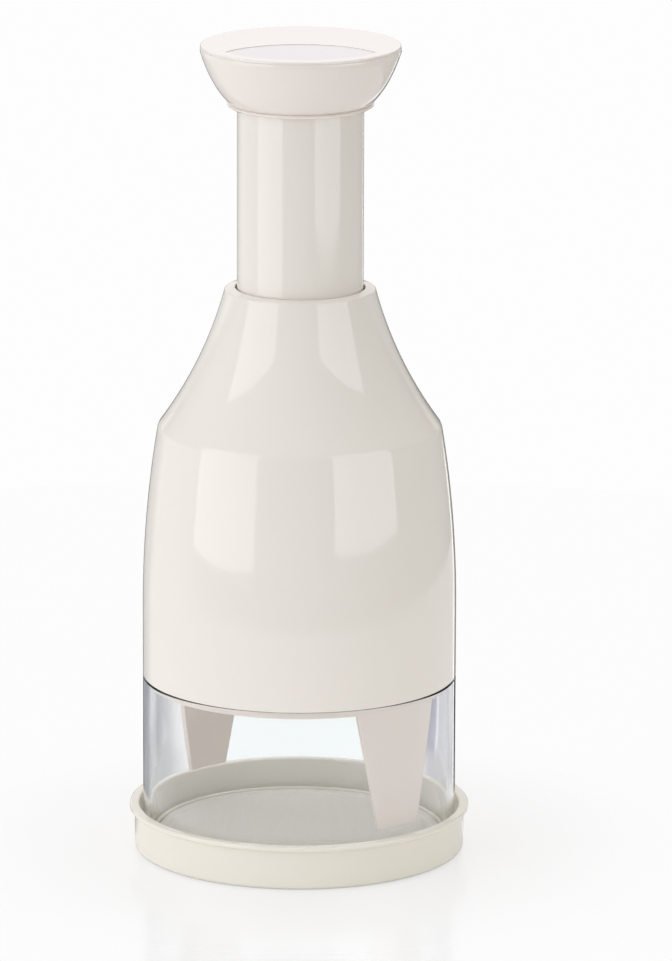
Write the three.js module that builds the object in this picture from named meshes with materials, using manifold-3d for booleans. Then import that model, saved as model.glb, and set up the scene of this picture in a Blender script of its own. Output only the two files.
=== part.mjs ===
// A hand-pressed onion chopper: knob, plunger tube, bottle-shaped body, clear container and base dish.
// Millimetres, +Z up. The origin is the centre of the base dish's underside.
import * as THREE from "three";
import { mergeVertices } from "three/addons/utils/BufferGeometryUtils.js";
import Module from "manifold-3d";

const wasm = await Module();
wasm.setup();

// Counts
const ringSides = 40;
const smallSides = 20;
const screwSides = 12;
const coilStepsPerCurl = 8;
const coilSides = 5;
const legCount = 2;
const screwCount = 3;
const bladeZigs = 6;

// Clearances and overruns
const runFit = 0.3; // between pieces that slide or turn in one another
const seatGap = 0.3; // between a piece and the face that it stands on
const trimGap = 0.15; // the fine joint line round a trim piece
const over = 1; // how far a cutter runs past the face that it cuts
const weld = 0.0005; // corners closer than this are one

// Stroke
const travel = 50.4; // the plunger's way down
const strokeTwist = THREE.MathUtils.degToRad(60); // the blades' turn on the way down
const stopGap = 0.7; // left between stop ring and neck at full press
const padClear = 0.5; // left between wiper plate and pad at full press

// Container and base dish
const bodyRadius = 45;
const seamHeight = 51.3; // where the body meets the clear container
const containerWall = 2;
const dishHeight = 12.9;
const dishFloor = 2.4;
const dishWall = 1.4;
const dishFit = 0.6; // round the container's foot
const dishDraft = 0.5; // the dish is this much wider at its lip
const lipOverhang = 1.4;
const lipHeight = 1.5;
const footRound = 1;
const ribHeight = 2.8; // rib inside the container's foot
const ribWall = 1.2;
const padThickness = 2.4;

// Inner sleeve
const sleeveFit = 0.4;
const sleeveWall = 1.6;
const spigotDepth = 2.3; // how far the sleeve reaches into the container
const spigotRise = 6;
const deckThickness = 3;
const legFootHeight = 14.5;
const legTopWidth = 28.4; // along the sleeve's outside
const legTaper = 0.44; // width lost for each millimetre of depth
const legAzimuth = THREE.MathUtils.degToRad(-48.7); // the front leg's direction from +X

// Blades, carrier and wiper plate
const bladeThickness = 0.8;
const bladeHeight = 27.6;
const bladeBevel = 2.6;
const bladeSeat = 2;
const bladeOffset = 12; // from the axis to the middle of a blade's zigzag
const bladeSwing = 4.5; // to each side of that middle
const bladeCover = 0.4; // how far the wiper plate reaches below the blades' edges
const carrierThickness = 4.3;
const carrierRim = 1; // outside the blades' ends
const hubWall = 3.1; // outside the corners of the shaft's square hole
const hubRise = 3.4;
const hubClear = 0.6; // between hub and deck at rest
const wiperThickness = 3;
const wiperRim = 2.8; // outside the slots
const wiperGap = 0.7; // round the plate in the sleeve
const pinRadius = 1.5;
const pinHeadRadius = 2.7;
const pinHeadHeight = 1.2;
const pinInset = 12.7; // from the blades' ends to the middle of a guide pin
const wiperSpringClear = 0.83; // between spring and pin
const wiperSpringWire = 0.7;
const wiperSpringCurls = 5;

// Twisted shaft and its nut
const shaftSide = 7;
const shaftRadius = 3;
const nutWall = 3.2; // outside the corners of the twisted hole
const nutFlangeWidth = 2.4;
const nutFlangeHeight = 2;
const nutCollarWall = 1.5;
const nutCollarRise = 4;
const twistSpare = 2; // twisted length left above the nut at full press
const neckDown = 3; // length of the taper from square to round

// Return spring
const springClear = 0.4; // round the nut's collar and the shaft bush's hub
const springWire = 1.6;
const springCurls = 15;
const springEndPitch = 2.3;
const springSeatHeight = 1;
const springSeatWidth = 3.4;

// Body shell and neck
const shellWall = 2;
const straightRise = 20.7; // the body's wall runs straight this far above the seam
const shoulderInset = 4.4; // the shoulder's corner lies this far inside the body's straight wall
const shoulderRound = 4;
const coneHeight = 39.9;
const coneSag = 2.1; // how far the flare bows in from a straight cone
const neckWall = 1.5;
const lipThickness = 2.3;
const lipSlope = 0.5;
const lipFit = 0.55;
const bushWall = 1.4;
const bushLength = 14.9;
const bushFlangeWidth = 2.3;
const bushFlangeHeight = 1.6;
const bossRadius = 3.5;
const bossInset = 7;

// Plunger tube
const tubeRadius = 18;
const tubeWall = 1.8;
const flangeWidth = 2.3;
const flangeHeight = 2.5;
const flangeClear = 1.2; // above the deck at full press
const endWall = 2.4;
const tubeBossRadius = 3;
const tubeBossInset = 2.2;
const tubeBossLength = 12;
const bushHubWall = 1.5;
const bushHubLength = 6;
const shaftBushWall = 2;
const shaftBushFlange = 1.3;
const shaftBushFlangeHeight = 1;

// Knob
const stopRingWidth = 2.9;
const stopRingHeight = 1.3;
const bowlFootWall = 1.5;
const bowlRadius = 28.5;
const bowlHeight = 15.4;
const bowlRimHeight = 0.6;
const bowlWall = 2;
const bowlBulgeShares = [0.62, 0.27]; // of the bowl's growth in radius, and of its height
const socketDepth = 4.3;
const knobFloor = 2.2;
const capHeight = 1.25;
const capInset = 0.1; // the cap's edge stands this far inside the bowl's
const capRound = 0.45;
const capSkirtDepth = 3;
const capSkirtWall = 1.4;
const lensRadius = 24.5;
const lensDepth = 0.45;
const inlayThickness = 0.3;

// Screws and washers
const screwRadius = 1.5;
const screwHeadRadius = 2.9;
const screwHeadHeight = 2.2;
const screwSocketRadius = 1.1;
const screwSocketDepth = 1.2;
const screwLength = 10;
const washerRadius = 5.5;
const washerHeight = 1;

// Heights from the dish upwards
const padTop = dishFloor + padThickness;
const containerLow = dishFloor + seatGap;
const containerHigh = seamHeight - trimGap;
const sleeveLow = seamHeight - spigotDepth;
const wiperLow = padTop + padClear + travel;
const wiperHigh = wiperLow + wiperThickness;
const bladeLow = wiperLow + bladeCover;
const bladeHigh = bladeLow + bladeHeight;
const carrierLow = bladeHigh - bladeSeat;
const carrierHigh = carrierLow + carrierThickness;
const hubHigh = carrierHigh + hubRise;
const deckLow = hubHigh + hubClear;
const deckHigh = deckLow + deckThickness;
const nutHigh = deckHigh + nutFlangeHeight + nutCollarRise;
const springSeatLow = deckHigh + nutFlangeHeight;
const springLow = springSeatLow + springSeatHeight;
const flangeLow = deckHigh + flangeClear + travel;
const flangeHigh = flangeLow + flangeHeight;
const bushLow = flangeHigh + seatGap;
const neckStep = bushLow + bushFlangeHeight + seatGap;
const bushHigh = bushLow + bushLength;
const neckTop = bushHigh + seatGap + lipThickness;
const neckEdge = neckTop - lipSlope;
const shoulderHeight = neckEdge - coneHeight;
const stopRingLow = neckTop + stopGap + travel;
const bowlLow = stopRingLow + stopRingHeight + trimGap;
const tubeTop = bowlLow + socketDepth;
const endWallLow = tubeTop - endWall;
const floorLow = tubeTop + seatGap;
const floorHigh = floorLow + knobFloor;
const bowlWidest = bowlLow + bowlHeight;
const bowlHigh = bowlWidest + bowlRimHeight;
const capLow = bowlHigh + trimGap;
const capHigh = capLow + capHeight;
const twistLow = hubHigh;
const twistHigh = nutHigh + travel + twistSpare;
const twistRate = -strokeTwist / travel;
const shaftLow = carrierLow + carrierThickness / 2;
const shaftHigh = tubeTop + shaftBushFlangeHeight + seatGap;

// Radii from the outside inwards
const shoulderRadius = bodyRadius - shoulderInset;
const containerInner = bodyRadius - containerWall;
const spigotRadius = bodyRadius - Math.max(containerWall, shellWall) - sleeveFit;
const spigotInner = spigotRadius - sleeveWall;
const sleeveRadius = bodySide(deckHigh) - shellWall - sleeveFit;
const sleeveInner = Math.min(sleeveRadius - sleeveWall, spigotInner);
const wiperRadius = sleeveInner - wiperGap;
const bladeRadius = wiperRadius - wiperRim;
const pinOffset = bladeRadius - pinInset;
const ribInner = spigotRadius - ribWall;
const tubeInner = tubeRadius - tubeWall;
const bushInner = tubeRadius + runFit;
const bushRadius = bushInner + bushWall;
const neckBore = bushRadius + runFit;
const neckRadius = neckBore + neckWall;
const bossCircle = sleeveInner - bossInset;
const tubeBossCircle = tubeInner - tubeBossInset;
const screwHole = screwRadius + runFit;
const shaftBore = shaftRadius + runFit;
const shaftBushRadius = shaftBore + shaftBushWall;
const shaftBushHole = shaftBushRadius + runFit;
const shaftBushEdge = shaftBushRadius + shaftBushFlange;
const shaftBushHub = shaftBushHole + bushHubWall;
const shaftHoleSide = shaftSide + 2 * runFit;
const shaftHoleCorner = shaftHoleSide / Math.SQRT2;
const hubRadius = shaftHoleCorner + hubWall;
const nutCornerRadius = shaftHoleCorner + nutWall;
const nutFlangeRadius = nutCornerRadius + nutFlangeWidth;
const nutCollarRadius = shaftHoleCorner + nutCollarWall;
const springInner = Math.max(nutCollarRadius, shaftBushHub) + springClear;
const springRadius = coilRadius(springInner, springWire);
const wiperSpringRadius = coilRadius(pinRadius + wiperSpringClear, wiperSpringWire);
const bowlFootRadius = tubeRadius + runFit + bowlFootWall;

// Radius of the body's outside below the shoulder: straight, then one arc that starts upright.
function bodySide(height) {
  const start = seamHeight + straightRise;
  if (height <= start) return bodyRadius;
  const rise = shoulderHeight - start;
  const drop = bodyRadius - shoulderRadius;
  const arc = (rise * rise + drop * drop) / (2 * drop);
  return bodyRadius - arc + Math.sqrt(arc * arc - (height - start) ** 2);
}

// Radius of the flare's outside, on one arc from shoulder to neck that bows in by its sag.
function coneSide(height) {
  const low = at(shoulderRadius, shoulderHeight);
  const high = at(neckRadius, neckEdge);
  const chord = high.clone().sub(low);
  const half = chord.length() / 2;
  const arc = (half * half + coneSag * coneSag) / (2 * coneSag);
  const out = at(chord.y, -chord.x).setLength(arc - coneSag);
  const centre = low.clone().lerp(high, 0.5).add(out);
  return centre.x - Math.sqrt(arc * arc - (height - centre.y) ** 2);
}

// Radius of a coil whose straight steps leave a clear bore.
function coilRadius(bore, wire) {
  return (bore + wire / 2) / Math.cos(Math.PI / coilStepsPerCurl);
}

function at(radius, height) {
  return new THREE.Vector2(radius, height);
}

function spread(count, from, to) {
  return Array.from({ length: count + 1 }, (_, i) => from + ((to - from) * i) / count);
}

// Points of the arc from a to b whose middle stands off the chord by sag, to the left of the way.
function bow(a, b, sag, steps) {
  const half = a.distanceTo(b) / 2;
  const radius = (half * half + sag * sag) / (2 * sag);
  const along = b.clone().sub(a).normalize();
  const left = at(-along.y, along.x);
  const middle = a.clone().add(b).multiplyScalar(0.5);
  const centre = middle.addScaledVector(left, sag - radius);
  const reach = Math.asin(half / Math.abs(radius));
  return spread(steps, -reach, reach).map((turn) =>
    centre
      .clone()
      .addScaledVector(along, Math.abs(radius) * Math.sin(turn))
      .addScaledVector(left, radius * Math.cos(turn)),
  );
}

// Replaces the corner between two neighbours by an arc that is tangent to both.
function roundCorner(before, corner, after, radius, steps) {
  const back = before.clone().sub(corner).normalize();
  const ahead = after.clone().sub(corner).normalize();
  const half = Math.acos(THREE.MathUtils.clamp(back.dot(ahead), -1, 1)) / 2;
  const reach = radius / Math.tan(half);
  const start = corner.clone().addScaledVector(back, reach);
  const end = corner.clone().addScaledVector(ahead, reach);
  const turns = Math.sign(back.cross(ahead)) || 1;
  const sag = radius * (1 - Math.sin(half));
  return bow(start, end, turns * sag, steps);
}

// A closed mesh as a solid that can be joined and cut.
function solidOf(geometry) {
  const bare = geometry.clone();
  for (const name of Object.keys(bare.attributes)) {
    if (name !== "position") bare.deleteAttribute(name);
  }
  const merged = mergeVertices(bare, weld);
  const faces = merged.index.array;
  const kept = [];
  for (let i = 0; i < faces.length; i += 3) {
    const [a, b, c] = faces.slice(i, i + 3);
    if (a !== b && b !== c && c !== a) kept.push(a, b, c);
  }
  return new wasm.Manifold(
    new wasm.Mesh({
      numProp: 3,
      vertProperties: Float32Array.from(merged.attributes.position.array),
      triVerts: Uint32Array.from(kept),
    }),
  );
}

function geometryOf(solid) {
  const mesh = solid.getMesh();
  const geometry = new THREE.BufferGeometry();
  geometry.setAttribute("position", new THREE.BufferAttribute(mesh.vertProperties, mesh.numProp));
  geometry.setIndex(new THREE.BufferAttribute(mesh.triVerts, 1));
  geometry.computeVertexNormals();
  return geometry;
}

// A closed outline of radius and height, anticlockwise, turned about the Z axis.
function turned(outline, sides = ringSides) {
  const closed = outline[0].x === 0 ? outline : [...outline, outline[0]];
  const geometry = new THREE.LatheGeometry(closed, sides);
  return solidOf(geometry.rotateX(Math.PI / 2));
}

function disc(radius, low, high, sides = ringSides) {
  return turned([at(0, low), at(radius, low), at(radius, high), at(0, high)], sides);
}

function ring(inner, outer, low, high, sides = ringSides) {
  return turned([at(inner, low), at(outer, low), at(outer, high), at(inner, high)], sides);
}

// A round bar along Z at a place beside the axis.
function bar(radius, low, high, place, sides = screwSides) {
  return disc(radius, low, high, sides).translate([place.x, place.y, 0]);
}

function prism(shape, low, high) {
  const geometry = new THREE.ExtrudeGeometry(shape, { depth: high - low, bevelEnabled: false });
  return solidOf(geometry.translate(0, 0, low));
}

// A closed skin over a row of rings that hold the same number of points, with flat ends.
function loft(rings) {
  const count = rings[0].length;
  const points = rings.flat();
  const faces = [];
  for (let i = 0; i + 1 < rings.length; i++) {
    for (let j = 0; j < count; j++) {
      const a = i * count + j;
      const b = i * count + ((j + 1) % count);
      faces.push(a, b, a + count, b, b + count, a + count);
    }
  }
  const last = (rings.length - 1) * count;
  for (let j = 1; j + 1 < count; j++) {
    faces.push(0, j + 1, j, last, last + j, last + j + 1);
  }
  const geometry = new THREE.BufferGeometry().setFromPoints(points);
  geometry.setIndex(faces);
  return solidOf(geometry);
}

function around(count, radius, start = 0) {
  return Array.from({ length: count }, (_, i) => {
    const turn = start + (2 * Math.PI * i) / count;
    return at(radius * Math.cos(turn), radius * Math.sin(turn));
  });
}

function joined(solids) {
  return solids.reduce((sum, solid) => sum.add(solid));
}

// A coil spring between two heights: its first and last curl lie close, the rest are even.
function coil(radius, wire, low, high, curls, endPitch) {
  const lowest = low + seatGap + wire / 2;
  const highest = high - seatGap - wire / 2;
  const openPitch = (highest - lowest - 2 * endPitch) / (curls - 2);
  const heightAt = (curl) => {
    if (curl < 1) return lowest + endPitch * curl;
    if (curl > curls - 1) return highest - endPitch * (curls - curl);
    return lowest + endPitch + openPitch * (curl - 1);
  };
  const centre = (step) => {
    const curl = step / coilStepsPerCurl;
    const turn = 2 * Math.PI * curl;
    return new THREE.Vector3(radius * Math.cos(turn), radius * Math.sin(turn), heightAt(curl));
  };
  const steps = curls * coilStepsPerCurl;
  const centres = spread(steps, 0, steps).map(centre);
  const rings = centres.map((point, step) => {
    const out = new THREE.Vector3(point.x, point.y, 0).normalize();
    const way = centre(step + 0.5).sub(centre(step - 0.5)).normalize();
    const side = new THREE.Vector3().crossVectors(way, out).normalize();
    const flat = new THREE.Vector3().crossVectors(side, way);
    return around(coilSides, wire / 2).map((p) =>
      point.clone().addScaledVector(flat, p.x).addScaledVector(side, p.y),
    );
  });
  return { solid: loft(rings), gap: leastGap(centres) - wire };
}

function leastGap(centres) {
  let least = Infinity;
  centres.forEach((a, i) => {
    for (let j = i + coilStepsPerCurl / 2; j < centres.length; j++) {
      least = Math.min(least, a.distanceTo(centres[j]));
    }
  });
  return least;
}

function baseDish() {
  const wallInner = bodyRadius + dishFit;
  const lipInner = wallInner + dishDraft;
  const wallOuter = lipInner + dishWall;
  const lipOuter = wallOuter + lipOverhang;
  const lipLow = dishHeight - lipHeight;
  const lipRound = lipHeight / 3;
  const foot = at(wallOuter, 0);
  const lip = [at(lipOuter, lipLow), at(lipOuter, dishHeight), at(lipInner, dishHeight)];
  return turned([
    at(0, 0),
    ...roundCorner(at(0, 0), foot, at(wallOuter, lipLow), footRound, 2),
    at(wallOuter, lipLow),
    ...roundCorner(at(wallOuter, lipLow), ...lip.slice(0, 2), lipRound, 1),
    ...roundCorner(...lip, lipRound, 2),
    ...roundCorner(...lip.slice(1), at(wallInner, dishFloor), lipRound, 2),
    at(wallInner, dishFloor),
    at(spigotRadius, dishFloor),
    at(spigotRadius, dishFloor + ribHeight),
    at(ribInner, dishFloor + ribHeight),
    at(ribInner, dishFloor),
    at(0, dishFloor),
  ]);
}

// Half a leg's width at a height, as an angle from the leg's middle.
function legHalfAngle(height) {
  return (legTopWidth - legTaper * (sleeveLow - height)) / 2 / spigotRadius;
}

// What is kept of a ring where a leg stands: a wedge that narrows downwards.
function legWedge(azimuth) {
  const near = spigotInner - over;
  const far = (spigotRadius + over) / Math.cos(legHalfAngle(sleeveLow + over)) + over;
  const rings = spread(2, legFootHeight - over, sleeveLow + over).map((height) => {
    const half = legHalfAngle(height);
    const corner = (radius, turn) =>
      new THREE.Vector3(radius * Math.cos(turn), radius * Math.sin(turn), height);
    return [
      corner(near, azimuth - half),
      corner(far, azimuth - half),
      corner(far, azimuth + half),
      corner(near, azimuth + half),
    ];
  });
  return loft(rings);
}

function innerSleeve() {
  const spigotTop = seamHeight + spigotRise;
  const shell = turned([
    at(spigotInner, legFootHeight),
    at(spigotRadius, legFootHeight),
    at(spigotRadius, spigotTop),
    at(sleeveRadius, spigotTop + (spigotRadius - sleeveRadius)),
    at(sleeveRadius, deckHigh),
    at(hubRadius, deckHigh),
    at(hubRadius, deckLow),
    at(sleeveInner, deckLow),
    at(sleeveInner, spigotTop),
    at(spigotInner, spigotTop - (spigotInner - sleeveInner)),
  ]);
  const wedges = Array.from({ length: legCount }, (_, i) =>
    legWedge(legAzimuth + (2 * Math.PI * i) / legCount),
  );
  const between = ring(spigotInner - over, spigotRadius + over, legFootHeight - over, sleeveLow);
  const holes = around(screwCount, bossCircle).map((place) =>
    bar(screwHole, deckLow - over, deckHigh + over, place),
  );
  return shell
    .subtract(between.subtract(joined(wedges)))
    .subtract(hexagon(nutCornerRadius + runFit, deckLow - over, deckHigh + over))
    .subtract(joined(holes));
}

function hexagon(cornerRadius, low, high) {
  return disc(cornerRadius, low, high, 6);
}

// Outline of the body's outside, from the seam up to the neck's outer edge.
function bodyOutside() {
  const side = spread(6, seamHeight + straightRise, shoulderHeight).map((z) => at(bodySide(z), z));
  const cone = spread(7, shoulderHeight, neckEdge).map((z) => at(coneSide(z), z));
  return [
    at(bodyRadius, seamHeight),
    ...side.slice(0, -1),
    ...roundCorner(side.at(-2), cone[0], cone[1], shoulderRound, 3),
    ...cone.slice(1),
  ];
}

// Outline of the body's inside, from the seam up to the neck's step.
function bodyInside() {
  const slope = Math.atan2(shoulderRadius - neckRadius, coneHeight);
  const coneWall = shellWall / Math.cos(slope);
  const side = spread(5, seamHeight + straightRise, shoulderHeight).slice(0, -1);
  const cone = spread(5, shoulderHeight, neckStep);
  return [
    at(bodyRadius - shellWall, seamHeight - over),
    ...side.map((z) => at(bodySide(z) - shellWall, z)),
    ...cone.map((z) => at(coneSide(z) - coneWall, z)),
  ];
}

function outerBody() {
  const lipLow = neckTop - lipThickness;
  const lipHole = tubeRadius + lipFit;
  const outside = bodyOutside();
  const filled = turned([at(0, seamHeight), ...outside, at(lipHole, neckTop), at(0, neckTop)]);
  const hollow = turned([
    at(0, seamHeight - over),
    ...bodyInside(),
    at(neckBore, neckStep),
    at(neckBore, lipLow),
    at(lipHole, lipLow),
    at(lipHole, neckTop + over),
    at(0, neckTop + over),
  ]);
  const places = around(screwCount, bossCircle);
  const bossLow = deckHigh + seatGap;
  const bosses = places.map((place) => bar(bossRadius, bossLow, neckEdge, place, smallSides));
  const pilots = places.map((place) =>
    bar(screwHole, bossLow - over, deckLow + screwLength + over, place),
  );
  return filled
    .subtract(hollow)
    .add(joined(bosses).intersect(filled))
    .subtract(joined(pilots));
}

function neckBush() {
  return turned([
    at(bushInner, bushLow),
    at(bushRadius + bushFlangeWidth, bushLow),
    at(bushRadius + bushFlangeWidth, bushLow + bushFlangeHeight),
    at(bushRadius, bushLow + bushFlangeHeight),
    at(bushRadius, bushHigh),
    at(bushInner, bushHigh),
  ]);
}

// A square bar, or the cutter for its hole, turning evenly with its height.
function twistedSquare(side, low, high) {
  const steps = Math.ceil((high - low) / (travel / 8));
  const rings = spread(steps, low, high).map((height) => {
    const turn = Math.PI / 4 + twistRate * (height - twistLow);
    return around(4, side / Math.SQRT2, turn).map((p) => new THREE.Vector3(p.x, p.y, height));
  });
  return loft(rings);
}

function squareBar(side, low, high) {
  return disc(side / Math.SQRT2, low, high, 4).rotate([0, 0, 45]);
}

function guideNut() {
  const flangeTop = deckHigh + nutFlangeHeight;
  const flange = disc(nutFlangeRadius, deckHigh, flangeTop, smallSides);
  const collar = disc(nutCollarRadius, flangeTop, nutHigh, smallSides);
  return hexagon(nutCornerRadius, deckLow, deckHigh)
    .add(flange)
    .add(collar)
    .subtract(twistedSquare(shaftHoleSide, deckLow - over, nutHigh + over));
}

function springSeat() {
  const inner = nutCollarRadius + runFit;
  return ring(inner, inner + springSeatWidth, springSeatLow, springLow, smallSides);
}

function plungerTube() {
  const tube = turned([
    at(tubeInner, flangeLow),
    at(tubeRadius + flangeWidth, flangeLow),
    at(tubeRadius + flangeWidth, flangeHigh),
    at(tubeRadius, flangeHigh),
    at(tubeRadius, tubeTop),
    at(shaftBushHole, tubeTop),
    at(shaftBushHole, endWallLow - bushHubLength),
    at(shaftBushHub, endWallLow - bushHubLength),
    at(shaftBushHub, endWallLow),
    at(tubeInner, endWallLow),
  ]);
  const places = around(screwCount, tubeBossCircle, Math.PI / 2);
  const bosses = places.map((place) =>
    bar(tubeBossRadius, tubeTop - tubeBossLength, tubeTop - endWall / 2, place),
  );
  const pilots = places.map((place) =>
    bar(screwHole, floorHigh - screwLength - over, tubeTop + over, place),
  );
  return tube.add(joined(bosses)).subtract(joined(pilots));
}

function shaftBush() {
  return turned(
    [
      at(shaftBore, endWallLow - bushHubLength),
      at(shaftBushRadius, endWallLow - bushHubLength),
      at(shaftBushRadius, tubeTop),
      at(shaftBushEdge, tubeTop),
      at(shaftBushEdge, tubeTop + shaftBushFlangeHeight),
      at(shaftBore, tubeTop + shaftBushFlangeHeight),
    ],
    smallSides,
  );
}

function stopRing() {
  const inner = tubeRadius + runFit;
  const outer = tubeRadius + stopRingWidth;
  const high = stopRingLow + stopRingHeight;
  const edge = [at(inner, stopRingLow), at(outer, stopRingLow), at(outer, high), at(inner, high)];
  const rim = stopRingHeight / 4;
  return turned([
    edge[0],
    ...roundCorner(...edge.slice(0, 3), rim, 1),
    ...roundCorner(...edge.slice(1, 4), rim, 1),
    edge[3],
  ]);
}

// The bowl's outside from foot to widest, moved inwards by a wall.
function bowlCurve(inset, steps) {
  const foot = at(bowlFootRadius - inset, bowlLow);
  const wide = at(bowlRadius - inset, bowlWidest);
  const [growth, rise] = bowlBulgeShares;
  const pull = at(foot.x + (wide.x - foot.x) * growth, foot.y + (wide.y - foot.y) * rise);
  return new THREE.QuadraticBezierCurve(foot, pull, wide).getPoints(steps);
}

function knobBowl() {
  const socket = tubeRadius + runFit;
  const inside = bowlCurve(bowlWall, 8).filter((point) => point.y > floorHigh);
  const shaftHole = Math.max(shaftBushEdge, washerRadius) + runFit;
  const bowl = turned([
    at(socket, bowlLow),
    ...bowlCurve(0, 7),
    at(bowlRadius, bowlHigh),
    at(bowlRadius - bowlWall, bowlHigh),
    ...inside.reverse(),
    at(inside.at(-1).x, floorHigh),
    at(shaftHole, floorHigh),
    at(shaftHole, floorLow),
    at(socket, floorLow),
  ]);
  const holes = around(screwCount, tubeBossCircle, Math.PI / 2).map((place) =>
    bar(screwHole, floorLow - over, floorHigh + over, place),
  );
  return bowl.subtract(joined(holes));
}

// Overlap of two equal circles, one round the knob's axis and one through it, towards the front.
function lensShape(inset) {
  const radius = lensRadius - inset;
  const reach = Math.acos(lensRadius / 2 / radius);
  const front = -Math.PI / 2;
  const shape = new THREE.Shape();
  shape.absarc(0, 0, radius, front - reach, front + reach, false);
  shape.absarc(0, -lensRadius, radius, -front - reach, -front + reach, false);
  return shape;
}

function knobCap() {
  const edgeRadius = bowlRadius - capInset;
  const skirtOuter = bowlRadius - bowlWall - runFit;
  const skirtLow = capLow - capSkirtDepth;
  const corner = at(edgeRadius, capHigh);
  const cap = turned([
    at(0, capLow),
    at(skirtOuter - capSkirtWall, capLow),
    at(skirtOuter - capSkirtWall - capSkirtDepth / 4, skirtLow),
    at(skirtOuter - capSkirtDepth / 4, skirtLow),
    at(skirtOuter, capLow),
    at(edgeRadius, capLow),
    ...roundCorner(at(edgeRadius, capLow), corner, at(0, capHigh), capRound, 2),
    at(0, capHigh),
  ]);
  return cap.subtract(prism(lensShape(0), capHigh - lensDepth, capHigh + over));
}

function knobInlay() {
  const low = capHigh - lensDepth;
  return prism(lensShape(trimGap), low, low + inlayThickness);
}

function twistShaft() {
  const roundLow = twistHigh + neckDown;
  const reach = THREE.MathUtils.radToDeg(twistRate * (twistHigh - twistLow));
  const taper = loft([
    around(4, shaftSide / Math.SQRT2, Math.PI / 4),
    around(4, shaftRadius / Math.SQRT2, Math.PI / 4),
  ].map((points, i) => points.map((p) => new THREE.Vector3(p.x, p.y, i ? roundLow : twistHigh))));
  const pilot = (low, high) => disc(screwHole, low, high, screwSides);
  return squareBar(shaftSide, shaftLow, twistLow)
    .add(twistedSquare(shaftSide, twistLow, twistHigh))
    .add(taper.rotate([0, 0, reach]))
    .add(disc(shaftRadius, twistHigh, shaftHigh, screwSides))
    .subtract(pilot(shaftLow - over, carrierLow + screwLength))
    .subtract(pilot(shaftHigh - screwLength, shaftHigh + over));
}

function screw(length) {
  return turned(
    [
      at(0, -length),
      at(screwRadius, -length),
      at(screwRadius, 0),
      at(screwHeadRadius, 0),
      at(screwHeadRadius, screwHeadHeight),
      at(screwSocketRadius, screwHeadHeight),
      at(screwSocketRadius, screwHeadHeight - screwSocketDepth),
      at(0, screwHeadHeight - screwSocketDepth),
    ],
    screwSides,
  );
}

function washer() {
  return ring(screwHole, washerRadius, 0, washerHeight, smallSides);
}

// A blade's zigzag, seen from above, on one side of the axis.
function bladePath(side) {
  const half = Math.sqrt(bladeRadius ** 2 - (bladeOffset + bladeSwing) ** 2);
  return spread(bladeZigs, -half, half).map((y, i) =>
    at(side * (bladeOffset + (i % 2 ? bladeSwing : -bladeSwing)), y),
  );
}

// For each point of a path, the step that moves both its sides out by one.
function mitres(path) {
  const ways = path.slice(1).map((point, i) => point.clone().sub(path[i]).normalize());
  return path.map((_, i) => {
    const before = ways[Math.max(i - 1, 0)];
    const after = ways[Math.min(i, ways.length - 1)];
    const normal = at(-before.y - after.y, before.x + after.x).normalize();
    return normal.divideScalar(normal.dot(at(-after.y, after.x)));
  });
}

function zigzagBlade(side) {
  const path = bladePath(side);
  const steps = mitres(path);
  const half = bladeThickness / 2;
  const bevelTop = bladeLow + bladeBevel;
  const section = [
    [0, bladeLow],
    [half, bevelTop],
    [half, bladeHigh],
    [-half, bladeHigh],
    [-half, bevelTop],
  ];
  return loft(
    path.map((point, i) =>
      section.map(([out, height]) => {
        const place = point.clone().addScaledVector(steps[i], out);
        return new THREE.Vector3(place.x, place.y, height);
      }),
    ),
  );
}

// The outline of a blade with its clearance, for a slot.
function slotShape(side) {
  const path = bladePath(side);
  const half = bladeThickness / 2 + runFit;
  path[0].add(path[0].clone().sub(path[1]).setLength(runFit));
  path.at(-1).add(path.at(-1).clone().sub(path.at(-2)).setLength(runFit));
  const steps = mitres(path);
  const left = path.map((point, i) => point.clone().addScaledVector(steps[i], half));
  const right = path.map((point, i) => point.clone().addScaledVector(steps[i], -half));
  return new THREE.Shape([...right, ...left.reverse()]);
}

function pinPlaces() {
  return [at(0, -pinOffset), at(0, pinOffset)];
}

function bladeCarrier() {
  const plate = disc(bladeRadius + carrierRim, carrierLow, carrierHigh);
  const hub = disc(hubRadius, carrierHigh - over, hubHigh, smallSides);
  const slots = [-1, 1].map((side) =>
    prism(slotShape(side), carrierLow - over, bladeHigh + seatGap),
  );
  const pinHoles = pinPlaces().map((place) =>
    bar(pinRadius + runFit, carrierLow - over, bladeHigh + seatGap, place),
  );
  return plate
    .add(hub)
    .subtract(squareBar(shaftHoleSide, shaftLow, hubHigh + over))
    .subtract(disc(screwHole, carrierLow - over, shaftLow + over, screwSides))
    .subtract(joined([...slots, ...pinHoles]));
}

function wiperPlate() {
  const low = wiperLow - over;
  const high = wiperHigh + over;
  const counterDepth = pinHeadHeight + 2 * seatGap;
  const cuts = [
    ...[-1, 1].map((side) => prism(slotShape(side), low, high)),
    ...pinPlaces().map((place) => bar(pinRadius + runFit, low, high, place)),
    ...pinPlaces().map((place) => bar(pinHeadRadius + runFit, low, wiperLow + counterDepth, place)),
  ];
  return disc(wiperRadius, wiperLow, wiperHigh).subtract(joined(cuts));
}

// Head down, standing on its own underside.
function guidePin() {
  const length = bladeHigh - wiperLow - seatGap;
  return turned(
    [
      at(0, 0),
      at(pinHeadRadius, 0),
      at(pinHeadRadius, pinHeadHeight),
      at(pinRadius, pinHeadHeight),
      at(pinRadius, length),
      at(0, length),
    ],
    screwSides,
  );
}

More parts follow.
